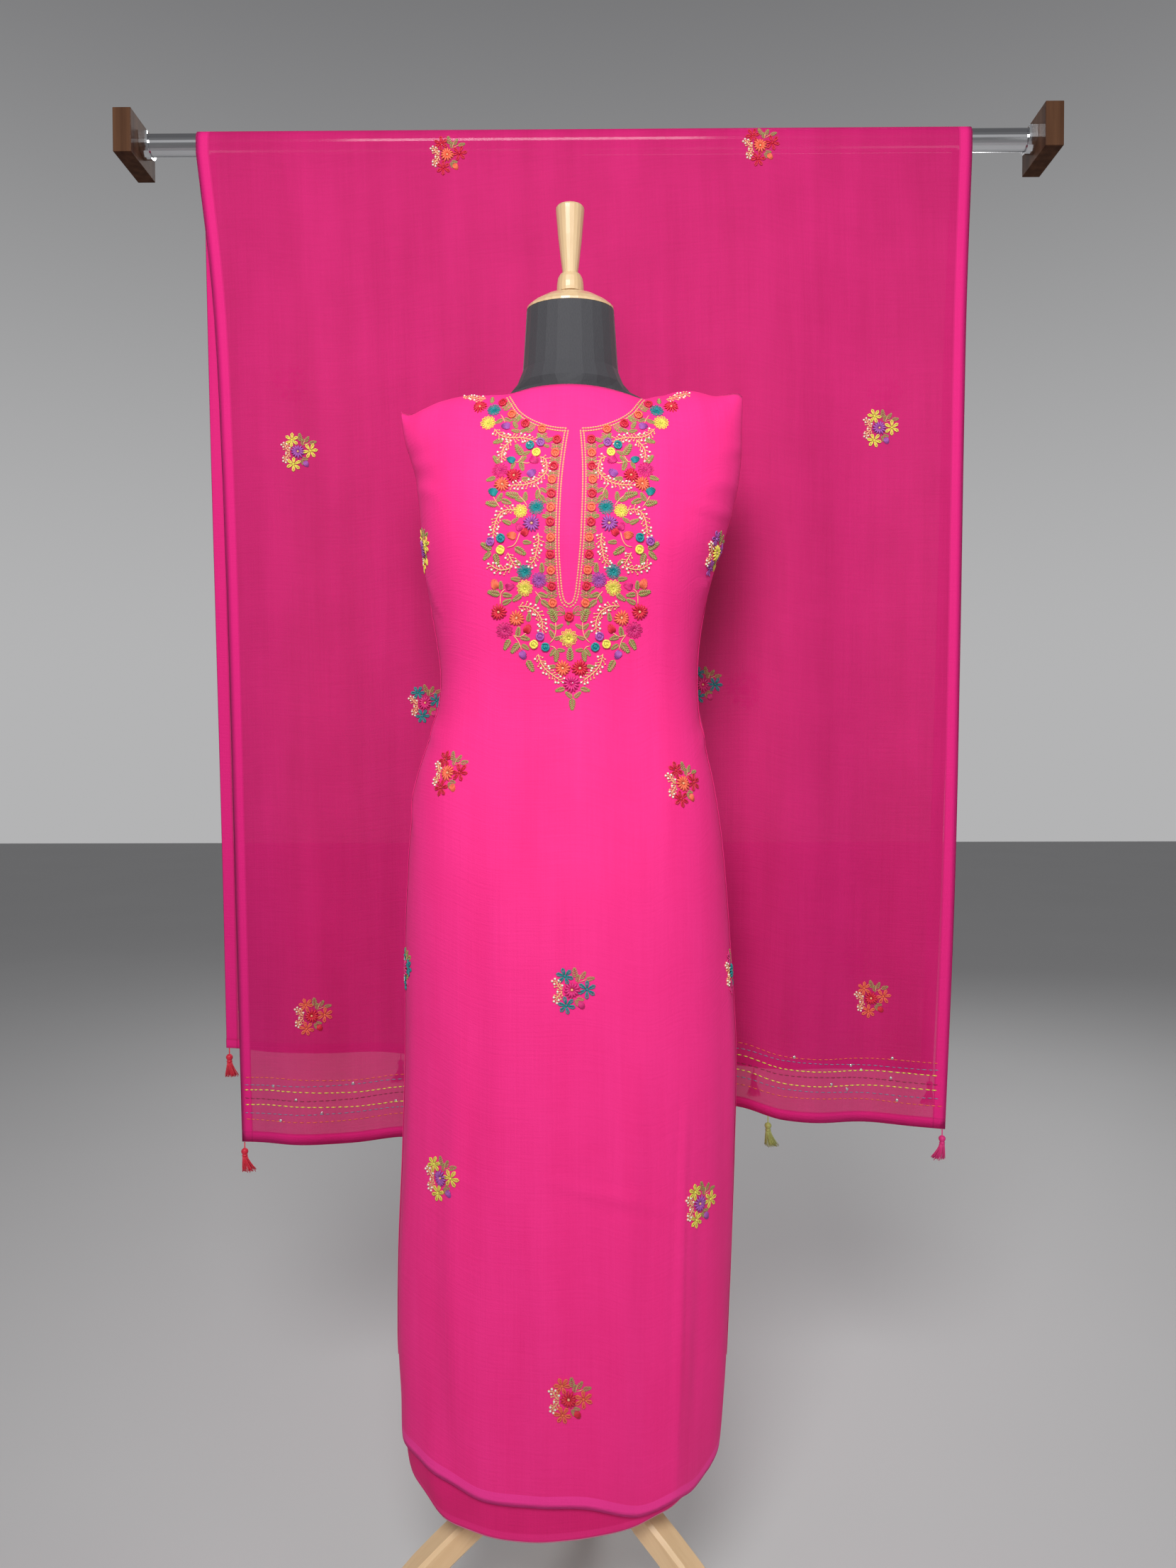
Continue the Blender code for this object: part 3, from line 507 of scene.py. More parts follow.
outer_rows = KAMEEZ_LOW + (SHOULDER_TOP - KAMEEZ_LOW) * np.linspace(0.0, 1.0, 210)
outer_rows[-1] = SHOULDER_TOP
rows_at, out = turned_up(outer_rows, TURN_UP)
wrap = FRONT_WRAP + (FRONT_WRAP_ARMHOLE - FRONT_WRAP) * ramp(rows_at, ARMHOLE_START, ARMHOLE_FULL)
angle, height = grid(-wrap, wrap, 150, rows_at)
hem_shift = read(FRONT_HEM, angle) - KAMEEZ_LOW
low = height + hem_shift * (1 - ramp(height, KAMEEZ_LOW, HEM_EASED))
front_points = topped(draped(angle, low, out[:, None]))
kameez_front, front_ground = cloth(
    "kameez_front_length", front_points, CLOTH_WALL, kameez_look("hot_pink_georgette", True))
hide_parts("kameez_front")

rows_at = BACK_HEM + (SHOULDER_TOP - BACK_HEM) * np.linspace(0.0, 1.0, 180)
wrap = BACK_WRAP + (BACK_WRAP_ARMHOLE - BACK_WRAP) * ramp(rows_at, ARMHOLE_START, ARMHOLE_FULL)
angle, height = grid(180.0 - wrap, 180.0 + wrap, 140, rows_at)
around = np.where(angle > 180.0, angle - 360.0, angle)
from_edge = wrap[:, None] - np.abs(angle - 180.0)
out = BACK_EDGE_GAP + (KAMEEZ_GAP - BACK_EDGE_GAP) * ramp(from_edge, 0.0, BACK_EDGE_TURN)
kameez_back, _ = cloth("kameez_back_length", topped(draped(around, height, out)), CLOTH_WALL,
                       kameez_look("hot_pink_georgette_back", False))
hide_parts("kameez_back")

# The embroidery is worked by hand in stranded thread on the front length: bullion roses,
# lazy daisies, fishbone leaves, peach vines with white knots, and chain cords that draw a
# neck curve and a placket. It lies on the cloth and its knots are tied off behind.
THREADS = {
    "olive": (0.380, 0.400, 0.110),
    "teal": (0.005, 0.290, 0.310),
    "yellow": (0.900, 0.800, 0.110),
    "purple": (0.400, 0.090, 0.440),
    "red": (0.720, 0.016, 0.050),
    "coral": (0.950, 0.170, 0.080),
    "magenta": (0.760, 0.025, 0.220),
    "peach": (0.930, 0.480, 0.240),
    "white": (0.950, 0.920, 0.860),
    "blue_grey": (0.260, 0.280, 0.420),
    "wine": (0.300, 0.008, 0.060),
}
THREAD_ORDER = list(THREADS)


def silk(name, colour):
    """Stranded embroidery thread: satin, with fine strands and a little wear."""
    material, shader, start = finish(name, {
        "Sheen Weight": 0.10, "Sheen Roughness": 0.3, "Specular IOR Level": 0.45})
    place = start.add("TexCoord", {}, {}, out=3)
    strand = place.noise(0.0009, 2.0)
    dark = tuple(value * 0.66 for value in colour)
    (strand * 1.6 - 0.1).between(dark, colour).into(shader, "Base Color")
    (0.38 + strand * 0.2).into(shader, "Roughness")
    strand.relief(shader, 0.0002, 0.8)
    return material


THREAD_LOOKS = [silk("thread_" + name, colour) for name, colour in THREADS.items()]
foil, foil_shader, foil_start = finish("sequin_foil", {"Metallic": 0.85, "Coat Weight": 0.5})
foil_place = foil_start.add("TexCoord", {}, {}, out=3)
# The foil's colour is varied by noise as painted glint: some sequins brighter and some darker, as if tilted to
# the light. The same noise varies its roughness.
foil_glint_noise = foil_place.noise(0.006)
foil_glint_noise.between((0.75, 0.72, 0.70), (0.95, 0.93, 0.90)).into(foil_shader, "Base Color")
(0.12 + foil_glint_noise * 0.2).into(foil_shader, "Roughness")
FOIL = len(THREAD_LOOKS)


POSY_DAISIES = (
    # place, turn
    ((-0.0080, 0.0140), 0.55), ((0.0155, 0.0015), 0.20), ((-0.0050, -0.0165), 0.52),
)
POSY_STEMS = (
    ((0.0055, 0.0070), (0.0075, 0.0120), (0.0080, 0.0160)),
    ((0.0065, 0.0085), (0.0115, 0.0105), (0.0150, 0.0120)),
)
POSY_LEAVES = (
    # place of the stem end, length, turn
    ((0.0030, 0.0130), 0.0105, 1.75), ((0.0085, 0.0120), 0.0090, 1.05),
    ((0.0050, 0.0085), 0.0080, 1.45), ((0.0140, 0.0115), 0.0090, 0.25),
    ((0.0055, -0.0085), 0.0075, -0.15), ((0.0045, -0.0095), 0.0075, -1.25),
)
POSY_VINES = (
    ((-0.0100, -0.0010), (-0.0135, 0.0020), (-0.0170, 0.0080)),
    ((-0.0100, -0.0020), (-0.0125, -0.0060), (-0.0165, -0.0110)),
)


class Needlework:
    """Stitches on a cloth, gathered into one piece. Places are metres right and up."""

    def __init__(self, ground, reach=0.25):
        self.ground = ground
        self.reach = reach
        self.points = []
        self.faces = []
        self.looks = []

    def lay_at(self, centre, right, up, turn=0.0):
        """Where the next stitches lie: a point on the cloth and the cloth's two directions."""
        right, up = Vector(right).normalized(), Vector(up).normalized()
        self.inward = up.cross(right)
        self.right = right * math.cos(turn) + up * math.sin(turn)
        self.up = up * math.cos(turn) - right * math.sin(turn)
        self.start = Vector(centre) - self.inward * self.reach

    def on_cloth(self, place):
        start = self.start + self.right * place[0] + self.up * place[1]
        point, normal, _, _ = self.ground.ray_cast(start, self.inward, 2 * self.reach)
        if point is None:
            point, normal, _, _ = self.ground.find_nearest(start + self.inward * self.reach)
        if normal.dot(self.inward) > 0:
            normal = -normal
        return point, normal

    def thread(self, line, radius, colour, lift=0.0, arch=0.0, sides=4, end=0.5, flat=0.8):
        """A thread along a line of places, thinner at its ends and humped by its arch."""
        spine = [self.on_cloth(place) for place in line]
        last = len(spine) - 1
        first = len(self.points)
        for index, (point, normal) in enumerate(spine):
            along = spine[min(index + 1, last)][0] - spine[max(index - 1, 0)][0]
            beside = along.cross(normal).normalized()
            wide = radius * (end if index in (0, last) else 1.0)
            middle = point + normal * (lift + arch * math.sin(math.pi * index / last) + wide * 0.5)
            for side in range(sides):
                turn = math.tau * (side + 0.5) / sides
                self.points.append(middle + beside * (wide * math.cos(turn))
                                   + normal * (wide * flat * math.sin(turn)))
        for index in range(last):
            for side in range(sides):
                low, nxt = first + index * sides, (side + 1) % sides
                self.faces.append((low + side, low + nxt, low + sides + nxt, low + sides + side))
        self.faces.append(tuple(first + side for side in reversed(range(sides))))
        self.faces.append(tuple(first + last * sides + side for side in range(sides)))
        self.looks += [THREAD_ORDER.index(colour)] * (last * sides + 2)

    def dome(self, place, radius, height, look, sides=7):
        """A small bead, knot or sequin, closed underneath."""
        point, normal = self.on_cloth(place)
        beside = normal.cross(self.up).normalized()
        upward = beside.cross(normal)
        first = len(self.points)
        for wide, high in ((0.8, 0.0), (1.0, 0.4), (0.65, 0.85)):
            for side in range(sides):
                turn = math.tau * side / sides
                self.points.append(point + beside * (radius * wide * math.cos(turn))
                                   + upward * (radius * wide * math.sin(turn)) + normal * (height * high))
        self.points.append(point + normal * height)
        top = len(self.points) - 1
        for ring in range(2):
            for side in range(sides):
                low, nxt = first + ring * sides, (side + 1) % sides
                self.faces.append((low + side, low + nxt, low + sides + nxt, low + sides + side))
        for side in range(sides):
            ring = first + 2 * sides
            self.faces.append((ring + side, ring + (side + 1) % sides, top))
        self.faces.append(tuple(first + side for side in reversed(range(sides))))
        self.looks += [look] * (3 * sides + 1)

    def knot(self, place, colour="white", radius=0.0014):
        self.dome(place, radius, radius * 1.4, THREAD_ORDER.index(colour))

    def sequin(self, place, radius=0.0019):
        self.dome(place, radius, 0.0006, FOIL, sides=9)

    def polar(self, place, distance, turn):
        return place[0] + distance * math.cos(turn), place[1] + distance * math.sin(turn)

    def daisy(self, place, radius, colour, petals=12, heart="peach", turn=0.2):
        """Bullion petals laid close round a knot, plump at their outer ends."""
        for petal in range(petals):
            away = turn + math.tau * petal / petals + 0.05 * math.sin(7.0 * petal + place[1] * 700)
            reach = radius * (0.95 + 0.07 * math.sin(5.0 * petal + place[0] * 900))
            line = [self.polar(place, reach * share, away) for share in (0.18, 0.45, 0.78, 1.0)]
            self.thread(line, radius * 1.75 / petals, colour, arch=0.0011, sides=5, end=0.45)
        self.knot(place, heart, radius * 0.17)

    def open_daisy(self, place, radius, colour, petals=12, turn=0.3, heart=None, wide=0.16, thick=0.00048):
        """Lazy daisy petals: close loops of thread, each with a strand laid inside."""
        for petal in range(petals):
            away = turn + math.tau * petal / petals + 0.06 * math.sin(4.0 * petal + place[0] * 800)
            reach = radius * (0.95 + 0.07 * math.sin(6.0 * petal + place[1] * 900))
            outline = []
            for share, side in ((0.16, 0.0), (0.48, 0.75), (0.80, 1.0), (0.98, 0.0),
                                (0.80, -1.0), (0.48, -0.75), (0.16, 0.0)):
                spot = self.polar(place, reach * share, away)
                outline.append(self.polar(spot, radius * wide * side, away + math.pi / 2))
            self.thread(outline, thick, colour, lift=0.0003, end=0.8)
            inner = [self.polar(place, reach * share, away) for share in (0.25, 0.82)]
            self.thread(inner, radius * wide * 0.75, colour, flat=0.5)
        if heart:
            self.knot(place, heart, radius * 0.16)

    def rose(self, place, radius, colour, turn=1.5):
        """A bullion rose: a round bed, two bars in its middle and three bars curled round them."""
        self.dome(place, radius * 0.84, radius * 0.22, THREAD_ORDER.index(colour), sides=12)
        for offset in (-0.20, 0.20):
            spot = self.polar(place, radius * offset, turn + math.pi / 2)
            line = [self.polar(spot, radius * share, turn) for share in (-0.36, 0.0, 0.36)]
            self.thread(line, radius * 0.17, colour, lift=radius * 0.20, arch=radius * 0.12, sides=5)
        for curl, (start, sweep) in enumerate(((0.10, 0.95), (0.85, 0.80), (1.45, 0.80))):
            line = []
            for step in range(7):
                around = turn + math.pi * (start + sweep * step / 6)
                line.append(self.polar(place, radius * (0.70 + 0.05 * curl), around))
            self.thread(line, radius * 0.235, colour, lift=radius * 0.04, arch=radius * 0.12, sides=5)

    def leaf(self, place, length, turn, colour="olive", pairs=6, plump=0.27):
        """A fishbone leaf from its stem end: close slanting stitches each side of a rib."""
        for pair in range(pairs):
            share = 0.04 + 0.78 * pair / (pairs - 1)
            reach = min(share + 0.24, 1.0)
            wide = plump * math.sin(math.pi * min(0.12 + 0.80 * reach, 1.0)) ** 0.7
            for side in (-1, 1):
                root = self.polar(place, length * share, turn)
                tip = self.polar(place, length * reach, turn)
                tip = self.polar(tip, length * wide * side, turn + math.pi / 2)
                middle = ((root[0] + tip[0]) / 2, (root[1] + tip[1]) / 2)
                self.thread([root, middle, tip], length * 0.068, colour, arch=0.0003, flat=0.6, end=0.6)
        tip = self.polar(place, length * 1.04, turn)
        self.thread([self.polar(place, length * 0.7, turn), tip], length * 0.05, colour)

    def looped_leaf(self, place, length, turn, colour="olive"):
        """A narrow lazy daisy leaf: one loop with a strand inside."""
        outline = []
        for share, side in ((0.0, 0.0), (0.35, 0.17), (0.72, 0.19), (1.0, 0.0),
                            (0.72, -0.19), (0.35, -0.17), (0.0, 0.0)):
            spot = self.polar(place, length * share, turn)
            outline.append(self.polar(spot, length * side, turn + math.pi / 2))
        self.thread(outline, 0.00050, colour, lift=0.0001, end=0.8)
        self.thread([self.polar(place, length * share, turn) for share in (0.15, 0.8)], 0.00058, colour)

    def bud(self, place, length, turn, colour):
        """A satin bud: close stitches side by side, fanned from a stem."""
        for fan in range(-3, 4):
            lean = fan * 0.17
            reach = length * (1.0 - 0.045 * fan * fan)
            root = self.polar(place, length * 0.075 * fan, turn + math.pi / 2)
            line = []
            for share in (0.0, 0.5, 1.0):
                line.append(self.polar(root, reach * share, turn + lean * (1 - 0.55 * share)))
            self.thread(line, length * 0.085, colour, arch=0.0006, sides=5, end=0.7)

    def curve(self, corners, spacing):
        """Even places along a smooth line through its corners."""
        table = np.array(corners, float)
        length = np.concatenate(([0.0], np.cumsum(np.hypot(*np.diff(table, axis=0).T))))
        rows = np.column_stack((length, table))
        count = max(int(round(length[-1] / spacing)), 2)
        at = np.linspace(0.0, length[-1], count + 1)
        return list(zip(read(rows, at, 1).tolist(), read(rows, at, 2).tolist()))

    def sprig(self, place, length, turn, pearl):
        """A short curled stitch that ends in a knot, most often a pearl ringed with thread."""
        bend = 0.35 * math.sin(place[0] * 2300 + place[1] * 1700)
        line = [place, self.polar(place, length * 0.5, turn + bend), self.polar(place, length, turn)]
        self.thread(line, 0.00062, "peach", lift=0.0002, end=0.8)
        tip = self.polar(place, length + 0.0008, turn)
        if pearl:
            self.dome(tip, 0.0016, 0.0011, THREAD_ORDER.index("peach"), sides=8)
            self.dome(tip, 0.0012, 0.0019, THREAD_ORDER.index("white"), sides=8)
        else:
            self.dome(tip, 0.0011, 0.0014, THREAD_ORDER.index("peach"))

    def vine(self, corners, sprig=0.0046, apart=0.0038):
        """A twisted stem with sprigs to both sides at every step."""
        stem = self.curve(corners, apart)
        self.thread(self.curve(corners, apart / 2), 0.00085, "peach", lift=0.0003)
        for index in range(1, len(stem)):
            back, here = stem[index - 1], stem[index]
            heading = math.atan2(here[1] - back[1], here[0] - back[0])
            for side in (-1, 1):
                share = 0.15 + 0.5 * (side > 0)
                root = (back[0] + (here[0] - back[0]) * share, back[1] + (here[1] - back[1]) * share)
                long = sprig * (0.9 + 0.2 * math.sin(3.1 * index + side))
                self.sprig(root, long, heading + side * 0.92, (index * 2 + side) % 5 not in (0, 3))
        heading = math.atan2(stem[-1][1] - stem[-2][1], stem[-1][0] - stem[-2][0])
        self.sprig(stem[-1], sprig * 0.5, heading, True)

    def chain(self, corners, apart=0.0016):
        """A double cord: two rows of chain links, each link two bowed threads."""
        links = self.curve(corners, 0.0027)
        for side in (-1, 1):
            for back, here in zip(links, links[1:]):
                heading = math.atan2(here[1] - back[1], here[0] - back[0])
                ends = [self.polar(spot, apart * side, heading + math.pi / 2) for spot in (back, here)]
                middle = ((ends[0][0] + ends[1][0]) / 2, (ends[0][1] + ends[1][1]) / 2)
                for bow in (-0.00052, 0.00052):
                    bowed = self.polar(middle, bow, heading + math.pi / 2)
                    self.thread([ends[0], bowed, ends[1]], 0.00052, "peach", lift=0.0002, end=0.7)

    def posy(self, petals, heart, bud, turn=0.0):
        """A scattered motif: three open daisies round a full one, with leaves, vine and bud."""
        for place, own_turn in POSY_DAISIES:
            self.open_daisy(place, 0.0098, petals, petals=6, turn=own_turn + turn, heart=petals,
                            wide=0.16, thick=0.00080)
        self.daisy((0.0, 0.0), 0.0094, heart, petals=13, turn=turn)
        for stem in POSY_STEMS:
            self.thread(stem, 0.0005, "peach", lift=0.0003)
        for place, length, own_turn in POSY_LEAVES:
            self.leaf(place, length, own_turn, pairs=5, plump=0.30)
        for corners in POSY_VINES:
            self.vine(corners, 0.0036, 0.0030)
        self.bud((0.0085, -0.0120), 0.0085, -1.0, bud)
        self.sequin((-0.0075, 0.0135), 0.0016)

    def made(self, name):
        """The piece, once all its stitches are laid."""
        points = [tuple(point) for point in self.points]
        piece = new_piece(name, points, self.faces, THREAD_LOOKS + [foil])
        piece.data.polygons.foreach_set("material_index", self.looks)
        return piece


MM = 0.001
YOKE_LINE = ((1.060, -0.0135), (1.165, -0.0180), (1.355, -0.0120), (1.410, -0.0105))
NECK_CURVE = ((73, 1396), (67, 1385), (60, 1374), (48, 1364), (31, 1356), (19, 1353), (8, 1352))
PLACKET = ((8, 1352), (10, 1335), (12, 1310), (13, 1283), (13, 1236), (12, 1215), (10, 1192), (8, 1177),
           (5, 1169), (0, 1166))
YOKE_ROSES = (
    # across, height, colour: along the neck, down the placket, then in threes
    (78, 1388, "red"), (67, 1372, "coral"), (52, 1360, "red"), (34, 1353, "coral"),
    (18, 1341, "red"), (19, 1326, "coral"), (20, 1311, "red"), (21, 1296, "coral"), (21, 1281, "red"),
    (21, 1266, "coral"), (21, 1251, "red"), (20, 1235, "coral"), (20, 1218, "red"), (19, 1202, "coral"),
    (18, 1186, "red"), (17, 1169, "coral"),
    (46, 1335, "teal"), (35, 1338, "purple"), (39, 1327, "yellow"),
    (83, 1233, "purple"), (72, 1236, "teal"), (72, 1224, "yellow"),
    (31, 1135, "purple"), (38, 1127, "yellow"), (26, 1124, "teal"),
)
YOKE_DAISIES = (
    # across, height, radius, colour
    (103, 1386, 8.2, "red"), (87, 1380, 8.0, "teal"), (92, 1364, 8.6, "yellow"),
    (76, 1309, 8.8, "magenta"), (61, 1302, 8.4, "red"), (73, 1293, 8.8, "coral"),
    (36, 1267, 8.6, "teal"), (52, 1263, 8.2, "yellow"), (40, 1250, 9.4, "purple"),
    (46, 1201, 8.6, "teal"), (31, 1192, 8.8, "purple"), (46, 1184, 9.0, "yellow"),
    (74, 1161, 9.0, "red"), (55, 1154, 8.8, "coral"), (68, 1142, 9.4, "magenta"),
)
LOOPED_DAISIES = ("yellow", "teal", "purple", "magenta")
YOKE_BUDS = (
    # across, height, turn, length, colour
    (68, 1358, 3.0, 10.0, "purple"), (61, 1318, 2.7, 9.4, "teal"), (45, 1321, 5.8, 10.5, "magenta"),
    (46, 1301, 0.7, 10.5, "purple"), (78, 1283, 2.6, 10.5, "teal"), (51, 1243, 2.0, 9.0, "magenta"),
    (56, 1237, 2.9, 10.0, "coral"), (49, 1238, 0.9, 9.5, "red"), (76, 1185, 1.9, 10.5, "coral"),
    (66, 1186, 0.2, 9.7, "magenta"), (46, 1139, 1.1, 9.8, "red"), (52, 1120, 5.2, 9.5, "purple"),
)
YOKE_VINES = (
    ((85, 1356), (79, 1349), (71, 1345), (62, 1344), (55, 1344), (42, 1340)),
    ((65, 1342), (72, 1335), (75, 1329), (75, 1321)),
    ((35, 1322), (29, 1319), (27, 1312), (27, 1305), (32, 1299), (39, 1294), (49, 1291), (62, 1291)),
    ((57, 1264), (66, 1265), (73, 1262), (77, 1255), (79, 1247), (80, 1240)),
    ((33, 1240), (32, 1231), (34, 1222), (36, 1213), (40, 1208)),
    ((64, 1221), (61, 1215), (57, 1208)),
    ((59, 1206), (65, 1204), (73, 1204), (82, 1209)),
    ((53, 1166), (45, 1166), (37, 1163), (31, 1157), (28, 1149), (28, 1141)),
    ((34, 1117), (31, 1107), (25, 1099), (12, 1089)),
    ((98, 1397), (105, 1398), (112, 1402), (121, 1406)),
)
YOKE_STEMS = (
    ((79, 1373), (76, 1368), (74, 1363)), ((53, 1324), (57, 1317), (61, 1317)),
    ((55, 1317), (48, 1315), (45, 1316)), ((55, 1280), (49, 1274), (45, 1268)),
    ((38, 1292), (34, 1286), (32, 1280)), ((82, 1281), (78, 1274), (74, 1268)),
    ((65, 1226), (58, 1228), (54, 1234), (52, 1241)), ((67, 1184), (71, 1180), (72, 1168)),
    ((35, 1181), (31, 1176), (28, 1171)), ((45, 1139), (52, 1135), (59, 1137)),
    ((59, 1137), (54, 1130), (51, 1121)), ((14, 1150), (14, 1142), (16, 1134), (21, 1128)),
    ((21, 1125), (17, 1124), (14, 1120)),
)
YOKE_LEAVES = (
    # across and height of the stem end, turn, length
    (90, 1389, 1.6, 9), (76, 1367, 3.6, 9), (75, 1368, 5.8, 8), (57, 1351, 2.9, 9), (57, 1351, 0.3, 8),
    (60, 1355, 2.1, 9), (60, 1363, 1.3, 8), (74, 1343, 3.4, 11), (31, 1338, 2.2, 11), (30, 1339, 0.4, 9),
    (25, 1333, 2.8, 7), (53, 1324, 2.1, 14), (53, 1325, 0.4, 8), (57, 1316, 0.7, 10), (55, 1317, 5.0, 10),
    (61, 1317, 4.3, 8), (77, 1316, 2.2, 11), (80, 1301, 3.4, 10), (53, 1298, 6.2, 9), (54, 1279, 2.9, 14),
    (48, 1273, 1.5, 10), (49, 1274, 2.9, 9), (34, 1286, 4.5, 10), (33, 1287, 5.7, 8), (33, 1280, 5.3, 10),
    (76, 1271, 2.9, 13), (77, 1274, 1.1, 10), (73, 1276, 5.9, 11), (30, 1258, 6.0, 8), (61, 1250, 2.7, 10),
    (61, 1251, 0.6, 8), (81, 1225, 2.6, 13), (82, 1223, 3.9, 11), (78, 1221, 5.0, 12), (49, 1231, 6.2, 9),
    (57, 1226, 5.7, 13), (50, 1207, 2.3, 8), (28, 1199, 1.6, 10), (50, 1193, 3.0, 10), (71, 1183, 1.6, 9),
    (72, 1179, 2.9, 13), (70, 1179, 6.1, 10), (70, 1169, 0.4, 10), (49, 1178, 3.7, 11), (32, 1179, 5.9, 10),
    (32, 1177, 4.5, 8), (29, 1172, 5.6, 11), (27, 1185, 5.8, 7), (43, 1150, 1.4, 9), (55, 1135, 1.4, 10),
    (52, 1135, 6.0, 10), (53, 1129, 4.0, 13), (51, 1127, 5.7, 9), (63, 1133, 4.2, 12), (46, 1111, 5.2, 13),
    (14, 1149, 1.9, 14), (14, 1143, 0.5, 8), (14, 1142, 2.4, 8), (16, 1133, 2.1, 9), (16, 1132, 0.3, 8),
    (15, 1122, 4.0, 9), (14, 1121, 6.2, 8), (14, 1120, 4.6, 11), (16, 1104, 3.2, 8), (8, 1081, 3.4, 10),
)


def yoke_place(across, height, side):
    """A place on the yoke from its middle line, which leans a little."""
    line = float(read(YOKE_LINE, height * MM))
    return line + side * across * MM - FORM_X, height * MM - 1.2


yoke = Needlework(front_ground, 0.30)
yoke.lay_at((FORM_X, FORM_Y, 1.2), (1, 0, 0), (0, 0, 1))
for side in (-1, 1):
    def turned_to(turn, hand=side):
        """A direction drawn for the left half, mirrored on the right one."""
        return turn if hand < 0 else math.pi - turn

    yoke.chain([yoke_place(across, height, side) for across, height in NECK_CURVE])
    yoke.chain([yoke_place(across, height, side) for across, height in PLACKET])
    for corners in YOKE_VINES:
        yoke.vine([yoke_place(across, height, side) for across, height in corners])
    for corners in YOKE_STEMS:
        stem = yoke.curve([yoke_place(across, height, side) for across, height in corners], 0.0025)
        yoke.thread(stem, 0.00065, "peach", lift=0.0002)
    for across, height, turn, length in YOKE_LEAVES:
        yoke.leaf(yoke_place(across, height, side), length * 1.06 * MM, turned_to(turn))
    for across, height, turn, length, colour in YOKE_BUDS:
        yoke.bud(yoke_place(across, height, side), length * MM, turned_to(turn), colour)
    for number, (across, height, colour) in enumerate(YOKE_ROSES):
        spot = yoke_place(across, height, side)
        yoke.rose(spot, 0.0050, colour, turn=turned_to(1.5 + 0.4 * math.sin(2.7 * number)))
        if number < 16:
            along_neck = number < 3
            root = yoke_place(across - 7.5, height - 7, side) if along_neck else (spot[0], spot[1] - 0.0108)
            heading = turned_to(2.4) if along_neck else math.pi / 2
            foot = yoke.polar(root, -0.0012, heading)
            yoke.thread([foot, yoke.polar(root, 0.0065, heading)], 0.0006, "peach", lift=0.0003)
            for lean in (-1.05, 1.05):
                yoke.looped_leaf(foot, 0.0068, heading + lean)
                yoke.looped_leaf(yoke.polar(root, 0.0024, heading), 0.0064, heading + lean * 0.9)
    for number, (across, height, radius, colour) in enumerate(YOKE_DAISIES):
        spot = yoke_place(across, height, side)
        if colour in LOOPED_DAISIES and number % 4:
            yoke.open_daisy(spot, radius * MM, colour, petals=13, turn=0.3 * number, heart=colour, wide=0.15)
        else:
            yoke.daisy(spot, radius * MM, colour, petals=14, turn=0.3 * number)
        if number % 2:
            yoke.sequin(yoke.polar(spot, 0.0012, 1.0 + number), 0.0017)
yoke.open_daisy(yoke_place(-1, 1133, 1), 0.0098, "yellow", petals=12, heart="yellow", wide=0.17)
yoke.rose(yoke_place(0, 1155, 1), 0.0054, "red")
yoke.daisy(yoke_place(9, 1102, -1), 0.0090, "coral", petals=13)
yoke.daisy(yoke_place(9, 1102, 1), 0.0094, "red", petals=14, turn=0.5)
yoke.daisy(yoke_place(-1, 1086, 1), 0.0098, "magenta", petals=14, heart="magenta")
yoke.sequin(yoke_place(10, 1102, -1), 0.0017)
yoke.sequin(yoke_place(0, 1086, 1), 0.0017)
for height, length, heading in ((1146, 0.0065, 1.57), (1109, 0.0145, 1.57), (1071, 0.0130, -1.57)):
    yoke.leaf(yoke_place(-1, height, 1), length, heading)
for side in (-1, 1):
    yoke.leaf(yoke_place(1, 1071, side), 0.0095, math.pi / 2 - side * 0.85)
    for lean in (0.7, 1.5):
        yoke.looped_leaf(yoke_place(4, 1158, side), 0.0105, math.pi / 2 - side * lean)
yoke_work = yoke.made("yoke_embroidery")

KAMEEZ_POSIES = (
    # angle round the form, height, petals, heart, bud
    (-77.0, 1.2390, "yellow", "purple", "yellow"),
    (71.0, 1.2320, "purple", "yellow", "yellow"),
    (-47.9, 0.9920, "red", "coral", "coral"),
    (47.5, 0.9800, "red", "coral", "coral"),
    (-77.5, 0.7730, "teal", "magenta", "magenta"),
    (77.5, 0.7700, "magenta", "teal", "teal"),
    (0.5, 0.7670, "teal", "magenta", "magenta"),
    (-44.0, 0.5590, "yellow", "purple", "purple"),
    (47.1, 0.5300, "yellow", "purple", "purple"),
    (-0.4, 0.3390, "coral", "red", "red"),
)
scattered = Needlework(front_ground)
for number, (angle, height, petals, heart, bud) in enumerate(KAMEEZ_POSIES):
    turn = math.radians(angle)
    right = (math.cos(turn), math.sin(turn), 0.0)
    middle = draped(np.array([angle]), np.array([height]), 0.0)[0]
    scattered.lay_at(middle, right, (0, 0, 1), 0.10 * math.sin(2.0 * number))
    scattered.posy(petals, heart, bud, 0.4 * number)
kameez_posies = scattered.made("kameez_posies")

# The rod is a chrome-plated tube that sits in two open chrome cups. Each cup is screwed to
# a walnut-veneered block, which is fixed to the wall beside it.
ROD_Y, ROD_Z = FORM_Y + 0.189, 1.797
BLOCK_THICK, BLOCK_DEEP, BLOCK_TALL = 0.023, 0.081, 0.055
BLOCK_OUTER = 0.595
WALNUT_LIGHT, WALNUT_DARK = (0.130, 0.060, 0.030), (0.038, 0.015, 0.008)
for node in ("rod", "rod_cup_left", "rod_cup_right"):
    dress(node, chrome)
walnut = wood("walnut_veneer", (0.0, 0.0, 1.0), WALNUT_LIGHT, WALNUT_DARK, 0.04)


